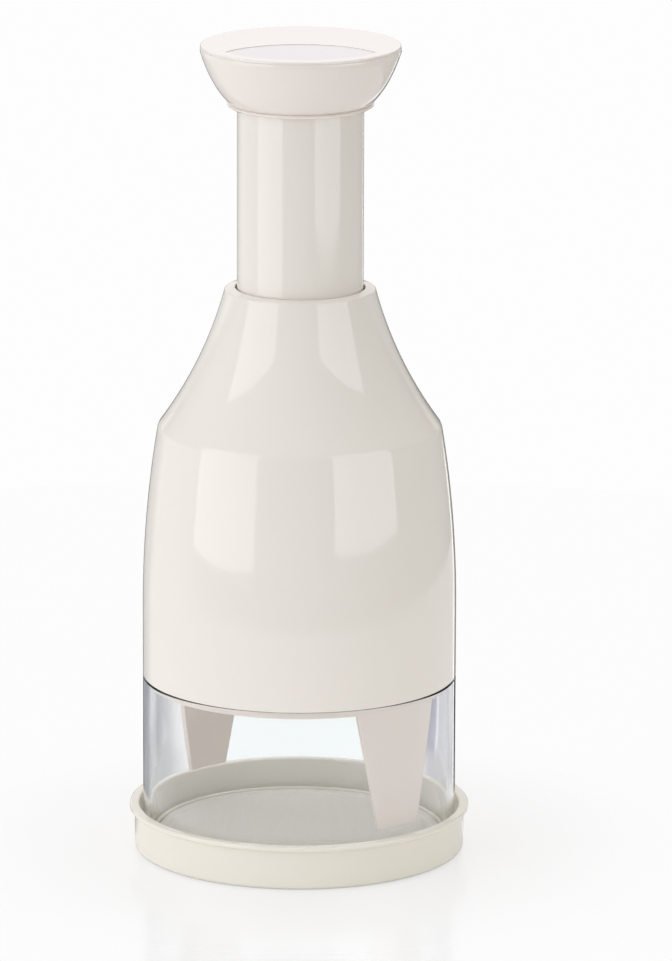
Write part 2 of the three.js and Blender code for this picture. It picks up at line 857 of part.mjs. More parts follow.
const finishes = {
  ivory: { color: 0xe6e2da, roughness: 0.25, metalness: 0 },
  pale: { color: 0xf1eeea, roughness: 0.35, metalness: 0 },
  grey: { color: 0xdcd9dc, roughness: 0.4, metalness: 0 },
  clear: { color: 0xe8eef2, roughness: 0.08, metalness: 0, transparent: true, opacity: 0.3 },
  board: { color: 0xeef0ee, roughness: 0.55, metalness: 0 },
  acetal: { color: 0xd8d5cb, roughness: 0.45, metalness: 0 },
  steel: { color: 0xb9bcc0, roughness: 0.3, metalness: 1 },
  brass: { color: 0xc9a860, roughness: 0.35, metalness: 1 },
};

function piece(name, solid, finish) {
  const mesh = new THREE.Mesh(geometryOf(solid), new THREE.MeshStandardMaterial(finishes[finish]));
  mesh.name = name;
  return mesh;
}

function groupOf(name, pieces) {
  const part = new THREE.Group();
  part.name = name;
  part.add(...pieces);
  return part;
}

function placed(mesh, x, y, z) {
  mesh.position.set(x, y, z);
  return mesh;
}

// Copies of a screw on a circle, heads up or heads down.
function screwsOn(name, circle, start, height, headDown) {
  return around(screwCount, circle, start).map((place, i) => {
    const mesh = piece(name + "_" + (i + 1), screw(screwLength), "steel");
    if (headDown) mesh.rotation.x = Math.PI;
    return placed(mesh, place.x, place.y, height);
  });
}

function wiperFittings() {
  const spring = coil(
    wiperSpringRadius,
    wiperSpringWire,
    wiperHigh,
    carrierLow,
    wiperSpringCurls,
    wiperSpringWire * 2,
  );
  console.log("wiper spring, least gap " + spring.gap.toFixed(2) + " mm");
  return pinPlaces().flatMap((place, i) => [
    placed(piece("wiper_guide_pin_" + (i + 1), guidePin(), "steel"), place.x, place.y, wiperLow + seatGap),
    placed(piece("wiper_spring_" + (i + 1), spring.solid, "steel"), place.x, place.y, 0),
  ]);
}

function base() {
  return groupOf("base", [
    piece("base_dish", baseDish(), "ivory"),
    piece("cutting_pad", disc(ribInner - runFit, dishFloor, padTop), "board"),
  ]);
}

function container() {
  return groupOf("container", [
    piece("clear_container", ring(containerInner, bodyRadius, containerLow, containerHigh), "clear"),
  ]);
}

function housing() {
  const spring = coil(springRadius, springWire, springLow, endWallLow, springCurls, springEndPitch);
  console.log("return spring, least gap " + spring.gap.toFixed(2) + " mm");
  return groupOf("housing", [
    piece("outer_body", outerBody(), "ivory"),
    piece("inner_sleeve", innerSleeve(), "ivory"),
    piece("neck_bush", neckBush(), "acetal"),
    piece("guide_nut", guideNut(), "acetal"),
    piece("spring_seat", springSeat(), "steel"),
    piece("return_spring", spring.solid, "steel"),
    ...screwsOn("housing_screw", bossCircle, 0, deckLow, true),
  ]);
}

function plunger() {
  return groupOf("plunger", [
    piece("plunger_tube", plungerTube(), "ivory"),
    piece("stop_ring", stopRing(), "pale"),
    piece("shaft_bush", shaftBush(), "brass"),
    piece("knob_bowl", knobBowl(), "ivory"),
    piece("knob_cap", knobCap(), "pale"),
    piece("knob_inlay", knobInlay(), "grey"),
    ...screwsOn("knob_screw", tubeBossCircle, Math.PI / 2, floorHigh, false),
  ]);
}

function blades() {
  const carrierScrew = piece("carrier_screw", screw(screwLength), "steel");
  carrierScrew.rotation.x = Math.PI;
  return groupOf("blades", [
    piece("twist_shaft", twistShaft(), "steel"),
    placed(piece("shaft_washer", washer(), "steel"), 0, 0, shaftHigh),
    placed(piece("shaft_screw", screw(screwLength), "steel"), 0, 0, shaftHigh + washerHeight),
    piece("blade_carrier", bladeCarrier(), "ivory"),
    placed(piece("carrier_washer", washer(), "steel"), 0, 0, carrierLow - washerHeight),
    placed(carrierScrew, 0, 0, carrierLow - washerHeight),
    piece("zigzag_blade_1", zigzagBlade(-1), "steel"),
    piece("zigzag_blade_2", zigzagBlade(1), "steel"),
    ...wiperFittings(),
  ]);
}

function wiper() {
  return groupOf("wiper", [piece("wiper_plate", wiperPlate(), "ivory")]);
}

const group = groupOf("onion_chopper", [
  base(),
  container(),
  housing(),
  plunger(),
  blades(),
  wiper(),
]);

export default group;
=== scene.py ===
from math import atan2, cos, hypot, pi, radians, sin, sqrt

import bmesh
import bpy
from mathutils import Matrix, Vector


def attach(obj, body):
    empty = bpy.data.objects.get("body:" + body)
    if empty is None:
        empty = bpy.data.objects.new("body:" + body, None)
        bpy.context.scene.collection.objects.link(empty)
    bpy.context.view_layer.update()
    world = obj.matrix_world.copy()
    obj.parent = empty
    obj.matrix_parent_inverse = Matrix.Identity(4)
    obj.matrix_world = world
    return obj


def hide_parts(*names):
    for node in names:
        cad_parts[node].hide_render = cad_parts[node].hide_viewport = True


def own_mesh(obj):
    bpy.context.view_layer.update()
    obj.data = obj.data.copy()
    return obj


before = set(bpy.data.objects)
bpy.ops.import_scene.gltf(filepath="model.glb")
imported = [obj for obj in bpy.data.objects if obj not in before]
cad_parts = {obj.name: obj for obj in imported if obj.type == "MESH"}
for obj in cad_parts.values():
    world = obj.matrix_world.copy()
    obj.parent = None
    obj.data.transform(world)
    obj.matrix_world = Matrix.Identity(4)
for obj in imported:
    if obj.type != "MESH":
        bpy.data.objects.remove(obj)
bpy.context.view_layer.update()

# Sizes are in millimetres, +Z up, from the centre of the dish's underside. A turned piece's corner is a
# radius and a height.
MM = 0.001
SNAP = 0.02  # corners are found again within this distance
WELD = 0.002  # corners that lie nearer than this are one
ROD_TURN = 0.013  # keeps a cutter's edges off the edges that it crosses
SLIDE_FIT = 0.3
CUT_OVER = 1.0  # how far a cutter runs past what it cuts

BODY_SIDES = 192
KNOB_SIDES = 160
TUBE_SIDES = 144
ROUND = 128  # sides of the other large pieces
RING_SIDES = 64
SMALL = 48  # sides of pins, holes and hubs

BODY = 45.0
SEAM = 51.3
STRAIGHT = 72.0
SHOULDER = (40.6, 124.5)
NECK_EDGE = (21.5, 164.4)
FLARE_SAG = 2.1
SHELL = 2.0
NECK_TOP = 164.9
LIP_HOLE = 18.55
LIP_LOW = 162.6
NECK_BORE = 20.0
NECK_STEP = 149.3

DISH_FLOOR = 2.4
BOARD = (41.1, 4.8)

SLEEVE = 42.6
SLEEVE_WALL = 1.6
SLEEVE_UPPER = 41.8
SLEEVE_LOW = 49.0
SLEEVE_STEP = (57.3, 58.1)
LEG_FOOT = 14.5
LEG_TOP_WIDTH = 28.4
LEG_TAPER = 0.44
LEG_AZIMUTH = radians(-48.7)
DECK = (90.0, 93.0)
NUT_NECK = 6.87
NUT_SEAT = 95.0
SPRING_SEAT = 96.0

TUBE = 18.0
TUBE_WALL = 1.8
TUBE_TOP = 221.75
BEARING_LOW = 213.35
KNOB = 28.5
KNOB_FOOT = 20.2
KNOB_LOW = 218.25
KNOB_WIDE = 232.85
KNOB_HIGH = 234.1
KNOB_FLOOR = (222.05, 224.25)
CAP = 28.4
CAP_LOW = 233.6
CAP_EDGE = 234.12  # the underside of the cap where it lies on the rim
CAP_TOP = 234.85
LENS = 24.5
LENS_DEPTH = 0.45

SHAFT_SIDE = 7.0
SHAFT_HOLE = SHAFT_SIDE + 2 * SLIDE_FIT
SHAFT_LOW = 83.85
SHAFT_CORNER = 0.5
SQUARE_TOP = 151.3
TAPER_TOP = 154.1
BAR = 3.0
SHAFT_TOP = 223.05
TWIST_START = 89.4
TWIST_RATE = radians(-60) / 50.4
TWIST_STEP = 1.6

BLADE_LOW = 56.1
BLADE_HIGH = 83.7
BLADE_BEVEL_TOP = 58.7
BLADE_THICK = 0.8
BLADE_OFFSET = 12.0
BLADE_SWING = 4.5
BLADE_REACH = 33.05
BLADE_ZIGS = 6
BEND = 1.2
EDGE_SHARE = 0.04  # of the blade's thickness, left at its cutting edge
WIPER = (39.52, 55.7, 58.7)
CARRIER = (37.72, 81.7, 86.0)
HUB = (8.47, 89.4)
PIN_PLACES = (-24.02, 24.02)
PIN = 1.5
PIN_HEAD = 2.7

SCREW_HOLE = 1.8
WASHER = 1.0

FINISHES = {}  # materials, by the names that they are made with


# Modelling helpers

def begin():
    """Leaves edit mode, with nothing selected."""
    if bpy.context.object is not None and bpy.context.object.mode != "OBJECT":
        bpy.ops.object.mode_set(mode="OBJECT")
    bpy.ops.object.select_all(action="DESELECT")


def take(obj):
    """Makes this the one selected and active object."""
    begin()
    obj.select_set(True)
    bpy.context.view_layer.objects.active = obj


def named(name):
    obj = bpy.context.object
    obj.name = obj.data.name = name
    bpy.ops.object.transform_apply(location=True, rotation=True, scale=True)
    return obj


def edit(obj):
    take(obj)
    bpy.ops.object.mode_set(mode="EDIT")


def mark(obj, kind, test):
    """In edit mode, selects the edges or faces whose points in millimetres pass the test together."""
    bpy.ops.mesh.select_mode(type=kind)
    bpy.ops.mesh.select_all(action="DESELECT")
    mesh = bmesh.from_edit_mesh(obj.data)
    for item in mesh.edges if kind == "EDGE" else mesh.faces:
        if test([v.co / MM for v in item.verts]):
            item.select_set(True)
    bmesh.update_edit_mesh(obj.data)


def at_corner(radius, height):
    """A test for points that lie on one ring."""
    def test(points):
        return all(abs(hypot(p.x, p.y) - radius) < SNAP and abs(p.z - height) < SNAP for p in points)
    return test


def soften(obj, corners, width, segments):
    """Rounds the ring edges at these corners of a turned piece."""
    edit(obj)
    for radius, height in corners:
        mark(obj, "EDGE", at_corner(radius, height))
        bpy.ops.mesh.bevel(offset=width * MM, segments=segments, profile=0.5, affect="EDGES")
    bpy.ops.object.mode_set(mode="OBJECT")


def rise(distance):
    """Extrudes what is selected upwards."""
    bpy.ops.mesh.extrude_region_move(TRANSFORM_OT_translate={"value": (0, 0, distance * MM)})


def grow_ring(near, low, far, high):
    """Extrudes the selected ring to its next radius and height."""
    rise(high - low)
    if far == 0:
        bpy.ops.mesh.merge(type="CENTER")
    elif far != near:
        grow = far / near
        bpy.ops.transform.resize(value=(grow, grow, 1), center_override=(0, 0, high * MM))


def turned(name, profile, sides=ROUND):
    """A ring at the profile's first corner, extruded from corner to corner and closed at its ends."""
    poles = [profile[0][0] == 0, profile[-1][0] == 0]
    rings = profile[1:] if poles[0] else profile
    begin()
    radius, height = rings[0]
    bpy.ops.mesh.primitive_circle_add(vertices=sides, radius=radius * MM, location=(0, 0, height * MM))
    obj = named(name)
    edit(obj)
    bpy.ops.mesh.select_mode(type="VERT")
    bpy.ops.mesh.select_all(action="SELECT")
    path = rings if any(poles) else rings + [rings[0]]
    for (near, low), (far, high) in zip(path, path[1:]):
        grow_ring(near, low, far, high)
    if poles[0]:
        mark(obj, "EDGE", at_corner(radius, height))
        grow_ring(radius, height, 0, profile[0][1])
    return closed(obj)


def closed(obj):
    """Merges doubles and turns the faces outwards."""
    edit(obj)
    bpy.ops.mesh.select_all(action="SELECT")
    bpy.ops.mesh.remove_doubles(threshold=WELD * MM)
    bpy.ops.mesh.normals_make_consistent(inside=False)
    bpy.ops.object.mode_set(mode="OBJECT")
    return obj


def applied(obj, kind, **settings):
    """Adds a modifier with these settings and applies it."""
    take(obj)
    modifier = obj.modifiers.new(kind.title(), kind)
    for key, value in settings.items():
        setattr(modifier, key, value)
    bpy.ops.object.modifier_apply(modifier=modifier.name)
    return obj


def bevelled(obj, width, angle):
    """Rounds all edges that are sharper than an angle in degrees."""
    limit = radians(angle)
    applied(obj, "BEVEL", width=width * MM, segments=2, limit_method="ANGLE", angle_limit=limit)


def combined(obj, operation, *others):
    """Cuts, joins or overlaps an object with others, which it uses up."""
    for other in others:
        applied(obj, "BOOLEAN", operation=operation, solver="EXACT", object=other)
        bpy.data.objects.remove(other)
    return obj


def cut(obj, *cutters):
    return combined(obj, "DIFFERENCE", *cutters)


def joined(obj, *others):
    take(obj)
    for other in others:
        other.select_set(True)
    bpy.ops.object.join()
    return obj


def rod(name, radius, low, high, place=(0, 0), sides=SMALL):
    """A closed cylinder, as a cutter or a blank."""
    begin()
    bpy.ops.mesh.primitive_cylinder_add(
        vertices=sides,
        radius=radius * MM,
        depth=(high - low) * MM,
        location=(place[0] * MM, place[1] * MM, (low + high) / 2 * MM),
        rotation=(0, 0, ROD_TURN if sides == SMALL else 0),
    )
    return named(name)


def copied(obj, name, offset=(0, 0, 0), turn=(0, 0, 0)):
    """A copy with its own mesh, turned about the origin and then moved."""
    twin = obj.copy()
    twin.data = obj.data.copy()
    bpy.context.collection.objects.link(twin)
    twin.rotation_euler = turn
    twin.location = [x * MM for x in offset]
    take(twin)
    return named(name)


def done(obj, finish, body, node, angle=35):
    """Shades a finished piece, gives it its finish and body, and hides the solid that it dresses."""
    take(obj)
    bpy.ops.object.shade_smooth_by_angle(angle=radians(angle))
    applied(obj, "WEIGHTED_NORMAL", mode="FACE_AREA", weight=50, keep_sharp=True)
    obj.data.materials.clear()
    obj.data.materials.append(FINISHES[finish])
    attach(obj, body)
    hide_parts(node)


# Places, and curves of the body and the knob

def steps(count, start, end):
    return [start + (end - start) * i / count for i in range(count + 1)]


def side_radius(height):
    """The body's outside below the shoulder: one arc that starts upright."""
    if height <= STRAIGHT:
        return BODY
    high = SHOULDER[1] - STRAIGHT
    drop = BODY - SHOULDER[0]
    arc = (high * high + drop * drop) / (2 * drop)
    return BODY - arc + sqrt(arc * arc - (height - STRAIGHT) ** 2)


def flare_radius(height):
    """The flare's outside, on one arc that bows in between shoulder and neck."""
    low, high = Vector(SHOULDER), Vector(NECK_EDGE)
    chord = high - low
    half = chord.length / 2
    arc = (half * half + FLARE_SAG ** 2) / (2 * FLARE_SAG)
    outward = Vector((chord.y, -chord.x)).normalized() * (arc - FLARE_SAG)
    centre = (low + high) / 2 + outward
    return centre.x - sqrt(arc * arc - (height - centre.y) ** 2)


def bowl_curve(inset, count):
    """The knob's outside from foot to rim, moved in by a wall."""
    pull_out, pull_up = 0.62, 0.32
    foot = Vector((KNOB_FOOT - inset, KNOB_LOW))
    rim = Vector((KNOB - inset, KNOB_WIDE))
    pull = Vector((foot.x + (rim.x - foot.x) * pull_out, foot.y + (rim.y - foot.y) * pull_up))
    return [
        tuple(foot * (1 - t) ** 2 + pull * 2 * t * (1 - t) + rim * t * t) for t in steps(count, 0, 1)
    ]


def on_circle(radius, start):
    """Three places, evenly round the axis."""
    return [
        (radius * cos(start + 2 * pi * i / 3), radius * sin(start + 2 * pi * i / 3)) for i in range(3)
    ]


SCREW_PLACES = {"housing": on_circle(33.2, 0), "knob": on_circle(14.0, pi / 2)}


def screw_holes(circle, low, high):
    places = enumerate(SCREW_PLACES[circle])
    return [rod(f"{circle}_hole_{i}", SCREW_HOLE, low, high, place) for i, place in places]


# Node helpers

def add(tree, kind, inputs={}, **settings):
    """A node with these settings, whose inputs take plain values or the outputs of other nodes."""
    node = tree.nodes.new(kind)
    for key, value in settings.items():
        setattr(node, key, value)
    for label, value in inputs.items():
        if isinstance(value, bpy.types.NodeSocket):
            tree.links.new(value, node.inputs[label])
        else:
            node.inputs[label].default_value = value
    return node


def math(tree, operation, *values, clamp=False):
    inputs = dict(enumerate(values))
    return add(tree, "ShaderNodeMath", inputs, operation=operation, use_clamp=clamp).outputs[0]


def noise(tree, vector, scale, detail=3.0, roughness=0.5):
    inputs = {"Vector": vector, "Scale": scale, "Detail": detail, "Roughness": roughness}
    return add(tree, "ShaderNodeTexNoise", inputs).outputs[0]


def blended(tree, amount, first, second, blend="MIX"):
    """A mix of two colours."""
    inputs = {0: amount, 6: first, 7: second}
    return add(tree, "ShaderNodeMix", inputs, data_type="RGBA", blend_type=blend).outputs[2]


def either(tree, amount, first, second):
    """A mix of two shaders."""
    return add(tree, "ShaderNodeMixShader", {0: amount, 1: first, 2: second}).outputs[0]


def shader_of(tree, kind, tone, **inputs):
    return add(tree, kind, {"Color": tone, **inputs}).outputs[0]


def step_of(tree, value, low, high):
    """0 below low and 1 above high, with a soft step between."""
    inputs = {"Value": value, "From Min": low, "From Max": high}
    return add(tree, "ShaderNodeMapRange", inputs, interpolation_type="SMOOTHSTEP").outputs[0]


def graded(tree, value, stops):
    """A ramp through these places, in rising order from 0 to 1, each with its colour."""
    ramp = add(tree, "ShaderNodeValToRGB", {0: value})
    elements = ramp.color_ramp.elements
    elements.remove(elements[1])
    for i, (place, tone) in enumerate(stops):
        stop = elements.new(place) if i else elements[0]
        stop.position = place
        stop.color = tone
    return ramp


def grey(value):
    return (value, value, value, 1)


def colour(red, green, blue):
    """A screen colour from 0 to 255 as linear light."""
    def linear(value):
        share = value / 255
        return share / 12.92 if share <= 0.04045 else ((share + 0.055) / 1.055) ** 2.4
    return (linear(red), linear(green), linear(blue), 1)


# Finishes

def group_of(name, inputs):
    """A node group with these inputs and what a finish needs as outputs, and the inputs' sockets."""
    tree = bpy.data.node_groups.new(name, "ShaderNodeTree")
    for label, kind, value in inputs:
        socket = tree.interface.new_socket(name=label, in_out="INPUT", socket_type=f"NodeSocket{kind}")
        socket.default_value = value
    for label, kind in (("Colour", "Color"), ("Roughness", "Float"), ("Normal", "Vector")):
        tree.interface.new_socket(name=label, in_out="OUTPUT", socket_type=f"NodeSocket{kind}")
    return tree, add(tree, "NodeGroupInput").outputs


def end_group(tree, start, tone, gloss, bump):
    """Gives out the colour and roughness, varied by two patterns from 0 to 1, and the bumps."""
    change = math(tree, "MULTIPLY", math(tree, "SUBTRACT", gloss, 0.5), start["Gloss Change"])
    add(tree, "NodeGroupOutput", {
        "Colour": blended(tree, tone, start["Colour"], start["Second Colour"]),
        "Roughness": math(tree, "ADD", start["Roughness"], change, clamp=True),
        "Normal": bump.outputs["Normal"],
    })
    return tree


def moulded_skin():
    """The slightly uneven colour, gloss and surface of moulded plastic."""
    tree, start = group_of("moulded_skin", [
        ("Colour", "Color", (0.8, 0.8, 0.8, 1)),
        ("Second Colour", "Color", (0.75, 0.75, 0.75, 1)),
        ("Roughness", "Float", 0.2),
        ("Gloss Change", "Float", 0.1),
        ("Grain Size", "Float", 900.0),
        ("Grain Depth", "Float", 0.02),
    ])
    place = add(tree, "ShaderNodeTexCoord").outputs["Object"]
    broad = noise(tree, place, 28.0, 2.0)
    handled = noise(tree, place, 95.0, 5.0, 0.62)
    grain = noise(tree, place, start["Grain Size"], 2.0)
    ripple = noise(tree, place, 60.0, 1.0)
    wave = add(tree, "ShaderNodeBump", {"Strength": 0.03, "Distance": 0.001, "Height": ripple})
    bump = add(tree, "ShaderNodeBump", {
        "Strength": start["Grain Depth"], "Distance": 0.0002, "Height": grain,
        "Normal": wave.outputs["Normal"],
    })
    return end_group(tree, start, broad, handled, bump)


def drawn_grain():
    """Fine parallel lines and their gloss on drawn or brushed metal, and scratches on a board."""
    tree, start = group_of("drawn_grain", [
        ("Colour", "Color", (0.6, 0.6, 0.6, 1)),
        ("Second Colour", "Color", (0.5, 0.5, 0.5, 1)),
        ("Roughness", "Float", 0.3),
        ("Gloss Change", "Float", 0.15),
        ("Along", "Vector", (1, 1, 0.03)),
        ("Line Size", "Float", 4000.0),
        ("Line Depth", "Float", 0.1),
    ])
    place = add(tree, "ShaderNodeTexCoord").outputs["Object"]
    stretched = add(tree, "ShaderNodeVectorMath", {0: place, 1: start["Along"]}, operation="MULTIPLY")
    lines = noise(tree, stretched.outputs[0], start["Line Size"], 3.0, 0.6)
    patches = noise(tree, place, 60.0)
    both = math(tree, "ADD", math(tree, "MULTIPLY", lines, 0.6), math(tree, "MULTIPLY", patches, 0.4))
    bump = add(tree, "ShaderNodeBump", {
        "Strength": start["Line Depth"], "Distance": 0.0001, "Height": lines,
    })
    return end_group(tree, start, lines, both, bump)


def finish_of(name, group, values, **sockets):
    """A material whose shader takes colour, roughness and normal from a group."""
    FINISHES[name] = bpy.data.materials.new(name)
    FINISHES[name].use_nodes = True
    tree = FINISHES[name].node_tree
    shader = tree.nodes["Principled BSDF"]
    for label, value in sockets.items():
        shader.inputs[label.replace("_", " ")].default_value = value
    skin = add(tree, "ShaderNodeGroup", values, node_tree=group)
    for label, socket in (("Colour", "Base Color"), ("Roughness", "Roughness"), ("Normal", "Normal")):
        tree.links.new(skin.outputs[label], shader.inputs[socket])
    return tree


def clear_finish(skin):
    """Clear moulded plastic. Lamps and bounced light pass it straight, as through a thin wall."""
    tree = finish_of("clear_plastic", skin, {
        "Colour": (0.99, 0.995, 1.0, 1),
        "Second Colour": (0.98, 0.99, 1.0, 1),
        "Roughness": 0.01,
        "Gloss Change": 0.015,
        "Grain Size": 500.0,
        "Grain Depth": 0.006,
    }, IOR=1.5, Transmission_Weight=1.0)
    path = add(tree, "ShaderNodeLightPath").outputs
    passing = math(tree, "MAXIMUM", path["Is Shadow Ray"], path["Is Diffuse Ray"])
    straight = shader_of(tree, "ShaderNodeBsdfTransparent", (0.965, 0.97, 0.97, 1))
    mix = either(tree, passing, tree.nodes["Principled BSDF"].outputs[0], straight)
    tree.links.new(mix, tree.nodes["Material Output"].inputs["Surface"])


# Name, the two colours as a screen shows them, roughness, depth of grain and refraction
MOULDED = [
    ("ivory_plastic", (241, 236, 230), (239, 234, 227), 0.055, 0.02, 1.5),
    ("dish_plastic", (243, 239, 229), (241, 237, 226), 0.055, 0.02, 1.5),
    ("knob_plastic", (246, 239, 234), (244, 237, 231), 0.055, 0.02, 1.5),
    ("sleeve_plastic", (241, 231, 224), (238, 228, 221), 0.055, 0.02, 1.5),
    ("pale_plastic", (244, 238, 234), (241, 235, 231), 0.16, 0.02, 1.5),
    ("inlay_plastic", (234, 229, 231), (230, 225, 228), 0.2, 0.02, 1.5),
    ("slide_plastic", (222, 218, 206), (214, 210, 198), 0.4, 0.06, 1.48),
]
METAL = {"Metallic": 1.0}
# Name, two colours, roughness, change of gloss, stretch of the lines, their size and depth, shader's values
DRAWN = [
    ("board_plastic", colour(241, 240, 235), colour(232, 231, 226), 0.5, 0.25, (1, 0.12, 1), 900.0, 0.25,
     {"IOR": 1.45}),
    ("blade_steel", (0.66, 0.66, 0.67, 1), (0.52, 0.52, 0.54, 1), 0.24, 0.2, (1, 1, 0.04), 2500.0, 0.12,
     METAL),
    ("spring_steel", (0.5, 0.5, 0.52, 1), (0.42, 0.42, 0.44, 1), 0.24, 0.2, (1, 1, 1), 1800.0, 0.06, METAL),
    ("bush_brass", (0.62, 0.44, 0.17, 1), (0.52, 0.36, 0.13, 1), 0.3, 0.2, (0.05, 0.05, 1), 3000.0, 0.1,
     METAL),
]


def make_finishes():
    skin, drawn = moulded_skin(), drawn_grain()
    for name, tone, second, roughness, depth, refraction in MOULDED:
        finish_of(name, skin, {
            "Colour": colour(*tone),
            "Second Colour": colour(*second),
            "Roughness": roughness,
            "Gloss Change": 0.035,
            "Grain Size": 900.0,
            "Grain Depth": depth,
        }, IOR=refraction)
    clear_finish(skin)
    labels = ("Colour", "Second Colour", "Roughness", "Gloss Change", "Along", "Line Size", "Line Depth")
    for name, *values, sockets in DRAWN:
        finish_of(name, drawn, dict(zip(labels, values)), **sockets)


# Base and container

def make_dish():
    """A dish with a lip, a recess below and a ridge round its board."""
    recess, foot_inner, foot = (39, 0.8), (40.2, 0), (47.5, 0)
    under_lip, lip, rim, rim_inner = (47.5, 11.4), (48.9, 11.4), (48.9, 12.9), (46.1, 12.9)
    well, ridge, ridge_inner = (45.6, DISH_FLOOR), (42.6, 5.2), (41.4, 5.2)
    obj = turned("dish", [
        (0, 0.8), recess, foot_inner, foot, under_lip, lip, rim, rim_inner, well, (42.6, DISH_FLOOR),
        ridge, ridge_inner, (41.4, DISH_FLOOR), (0, DISH_FLOOR),
    ])
    soften(obj, [foot], 1.0, 5)
    soften(obj, [rim, rim_inner], 0.6, 5)
    soften(obj, [lip], 0.5, 4)
    soften(obj, [under_lip, well, ridge, ridge_inner, recess, foot_inner], 0.25, 2)
    done(obj, "dish_plastic", "base", "base_dish")


def make_board():
    radius, top = BOARD
    groove = [(38.6, top), (38.2, 4.4), (36.8, 4.4), (36.4, top)]
    obj = turned("board", [(0, DISH_FLOOR), (radius, DISH_FLOOR), BOARD, *groove, (0, top)])
    soften(obj, [BOARD], 0.5, 3)
    soften(obj, groove, 0.12, 2)
    done(obj, "board_plastic", "base", "cutting_pad")


def make_container():
    low, high, inner = 2.7, 51.15, 43.0
    rows = [low, 15.0, 27.0, 39.0, high]
    outside = [(BODY, z) for z in rows]
    inside = [(inner, z) for z in reversed(rows)]
    obj = turned("container_wall", outside + inside, BODY_SIDES)
    soften(obj, [(BODY, low), (inner, low)], 0.3, 3)
    soften(obj, [(BODY, high), (inner, high)], 0.6, 5)
    done(obj, "clear_plastic", "container", "clear_container")


# Housing

def make_body():
    side = [(side_radius(z), z) for z in steps(24, STRAIGHT, SHOULDER[1])]
    flare = [(flare_radius(z), z) for z in steps(22, SHOULDER[1], NECK_EDGE[1])][1:]
    slope = atan2(SHOULDER[0] - NECK_EDGE[0], NECK_EDGE[1] - SHOULDER[1])
    flare_wall = SHELL / cos(slope)
    side_in = [(side_radius(z) - SHELL, z) for z in steps(8, STRAIGHT, SHOULDER[1])][:-1]
    flare_in = [(flare_radius(z) - flare_wall, z) for z in steps(8, SHOULDER[1], NECK_STEP)]
    inside = [(BODY - SHELL, SEAM), *side_in, *flare_in, (NECK_BORE, NECK_STEP), (NECK_BORE, LIP_LOW)]
    obj = turned("body_shell", [
        (BODY, SEAM), (BODY, (SEAM + STRAIGHT) / 2), *side, *flare,
        (LIP_HOLE, NECK_TOP), (LIP_HOLE, LIP_LOW), *reversed(inside),
    ], BODY_SIDES)
    soften(obj, [SHOULDER], 0.85, 4)
    soften(obj, [flare[-1]], 0.3, 3)
    soften(obj, [(LIP_HOLE, NECK_TOP), (BODY, SEAM)], 0.22, 3)
    joined(obj, *body_bosses())
    done(obj, "ivory_plastic", "housing", "outer_body")


def body_bosses():
    """The sleeve's three screw bosses, cut off inside the flare's wall."""
    place, low, high = SCREW_PLACES["housing"][0], 92.0, 142.0
    boss = cut(rod("boss", 3.5, 93.3, 141.0, place), rod("pilot", SCREW_HOLE, low, 101.0, place))
    inside = [(flare_radius(z) - 1, z) for z in steps(8, SHOULDER[1], high)]
    core = turned("core", [(0, low), (BODY - SHELL, low), *inside, (0, high)])
    combined(boss, "INTERSECT", core)
    return [boss, *(copied(boss, f"boss_{i}", turn=(0, 0, radians(120 * i))) for i in (1, 2))]


def leg_half_angle(height):
    return (LEG_TOP_WIDTH - LEG_TAPER * (SLEEVE_LOW - height)) / 2 / SLEEVE


def sleeve_skin():
    """The wall as one skin: the legs are extruded down from the ring's edge, narrowed and cast round."""
    begin()
    bpy.ops.mesh.primitive_circle_add(
        vertices=TUBE_SIDES, radius=SLEEVE * MM, location=(0, 0, SLEEVE_LOW * MM),
        rotation=(0, 0, LEG_AZIMUTH),
    )
    wall = named("sleeve")
    edit(wall)
    bpy.ops.mesh.select_all(action="SELECT")
    lower = [(SLEEVE, z) for z in (SLEEVE_LOW, 53.0, SLEEVE_STEP[0])]
    upper = [(SLEEVE_UPPER, z) for z in (SLEEVE_STEP[1], 75.0, DECK[1] - 0.01)]
    rings = lower + upper
    for (near, low), (far, high) in zip(rings, rings[1:]):
        grow_ring(near, low, far, high)
    top_half = leg_half_angle(SLEEVE_LOW)
    side = 2 * pi / TUBE_SIDES
    whole = int(top_half / side)
    for turn in (LEG_AZIMUTH, LEG_AZIMUTH + pi):
        mid = Vector((cos(turn), sin(turn), 0))
        across = Vector((-sin(turn), cos(turn), 0))

        def at_leg(points):
            return all(
                abs(p.z - SLEEVE_LOW) < SNAP
                and abs(atan2(p.dot(across), p.dot(mid))) < (whole + 0.5) * side
                for p in points
            )

        def widen(share):
            bpy.ops.transform.resize(
                value=(share, 1, 1), orient_type="GLOBAL",
                orient_matrix=(tuple(across), tuple(mid), (0, 0, 1)), orient_matrix_type="GLOBAL",
                center_override=tuple(mid * SLEEVE * MM),
            )

        mark(wall, "EDGE", at_leg)
        widen(sin(top_half) / sin(whole * side))
        heights = steps(7, SLEEVE_LOW, LEG_FOOT)
        for high, low in zip(heights, heights[1:]):
            rise(low - high)
            widen(sin(leg_half_angle(low)) / sin(leg_half_angle(high)))
    bpy.ops.object.mode_set(mode="OBJECT")
    group = wall.vertex_groups.new(name="lower")
    below = [v.index for v in wall.data.vertices if v.co.z < (SLEEVE_STEP[0] + SNAP) * MM]
    group.add(below, 1.0, "REPLACE")
    applied(
        wall, "CAST", cast_type="CYLINDER", factor=1.0, use_x=True, use_y=True, use_z=False,
        radius=0.0, size=SLEEVE * MM, use_radius_as_size=False, vertex_group="lower",
    )
    return closed(wall)


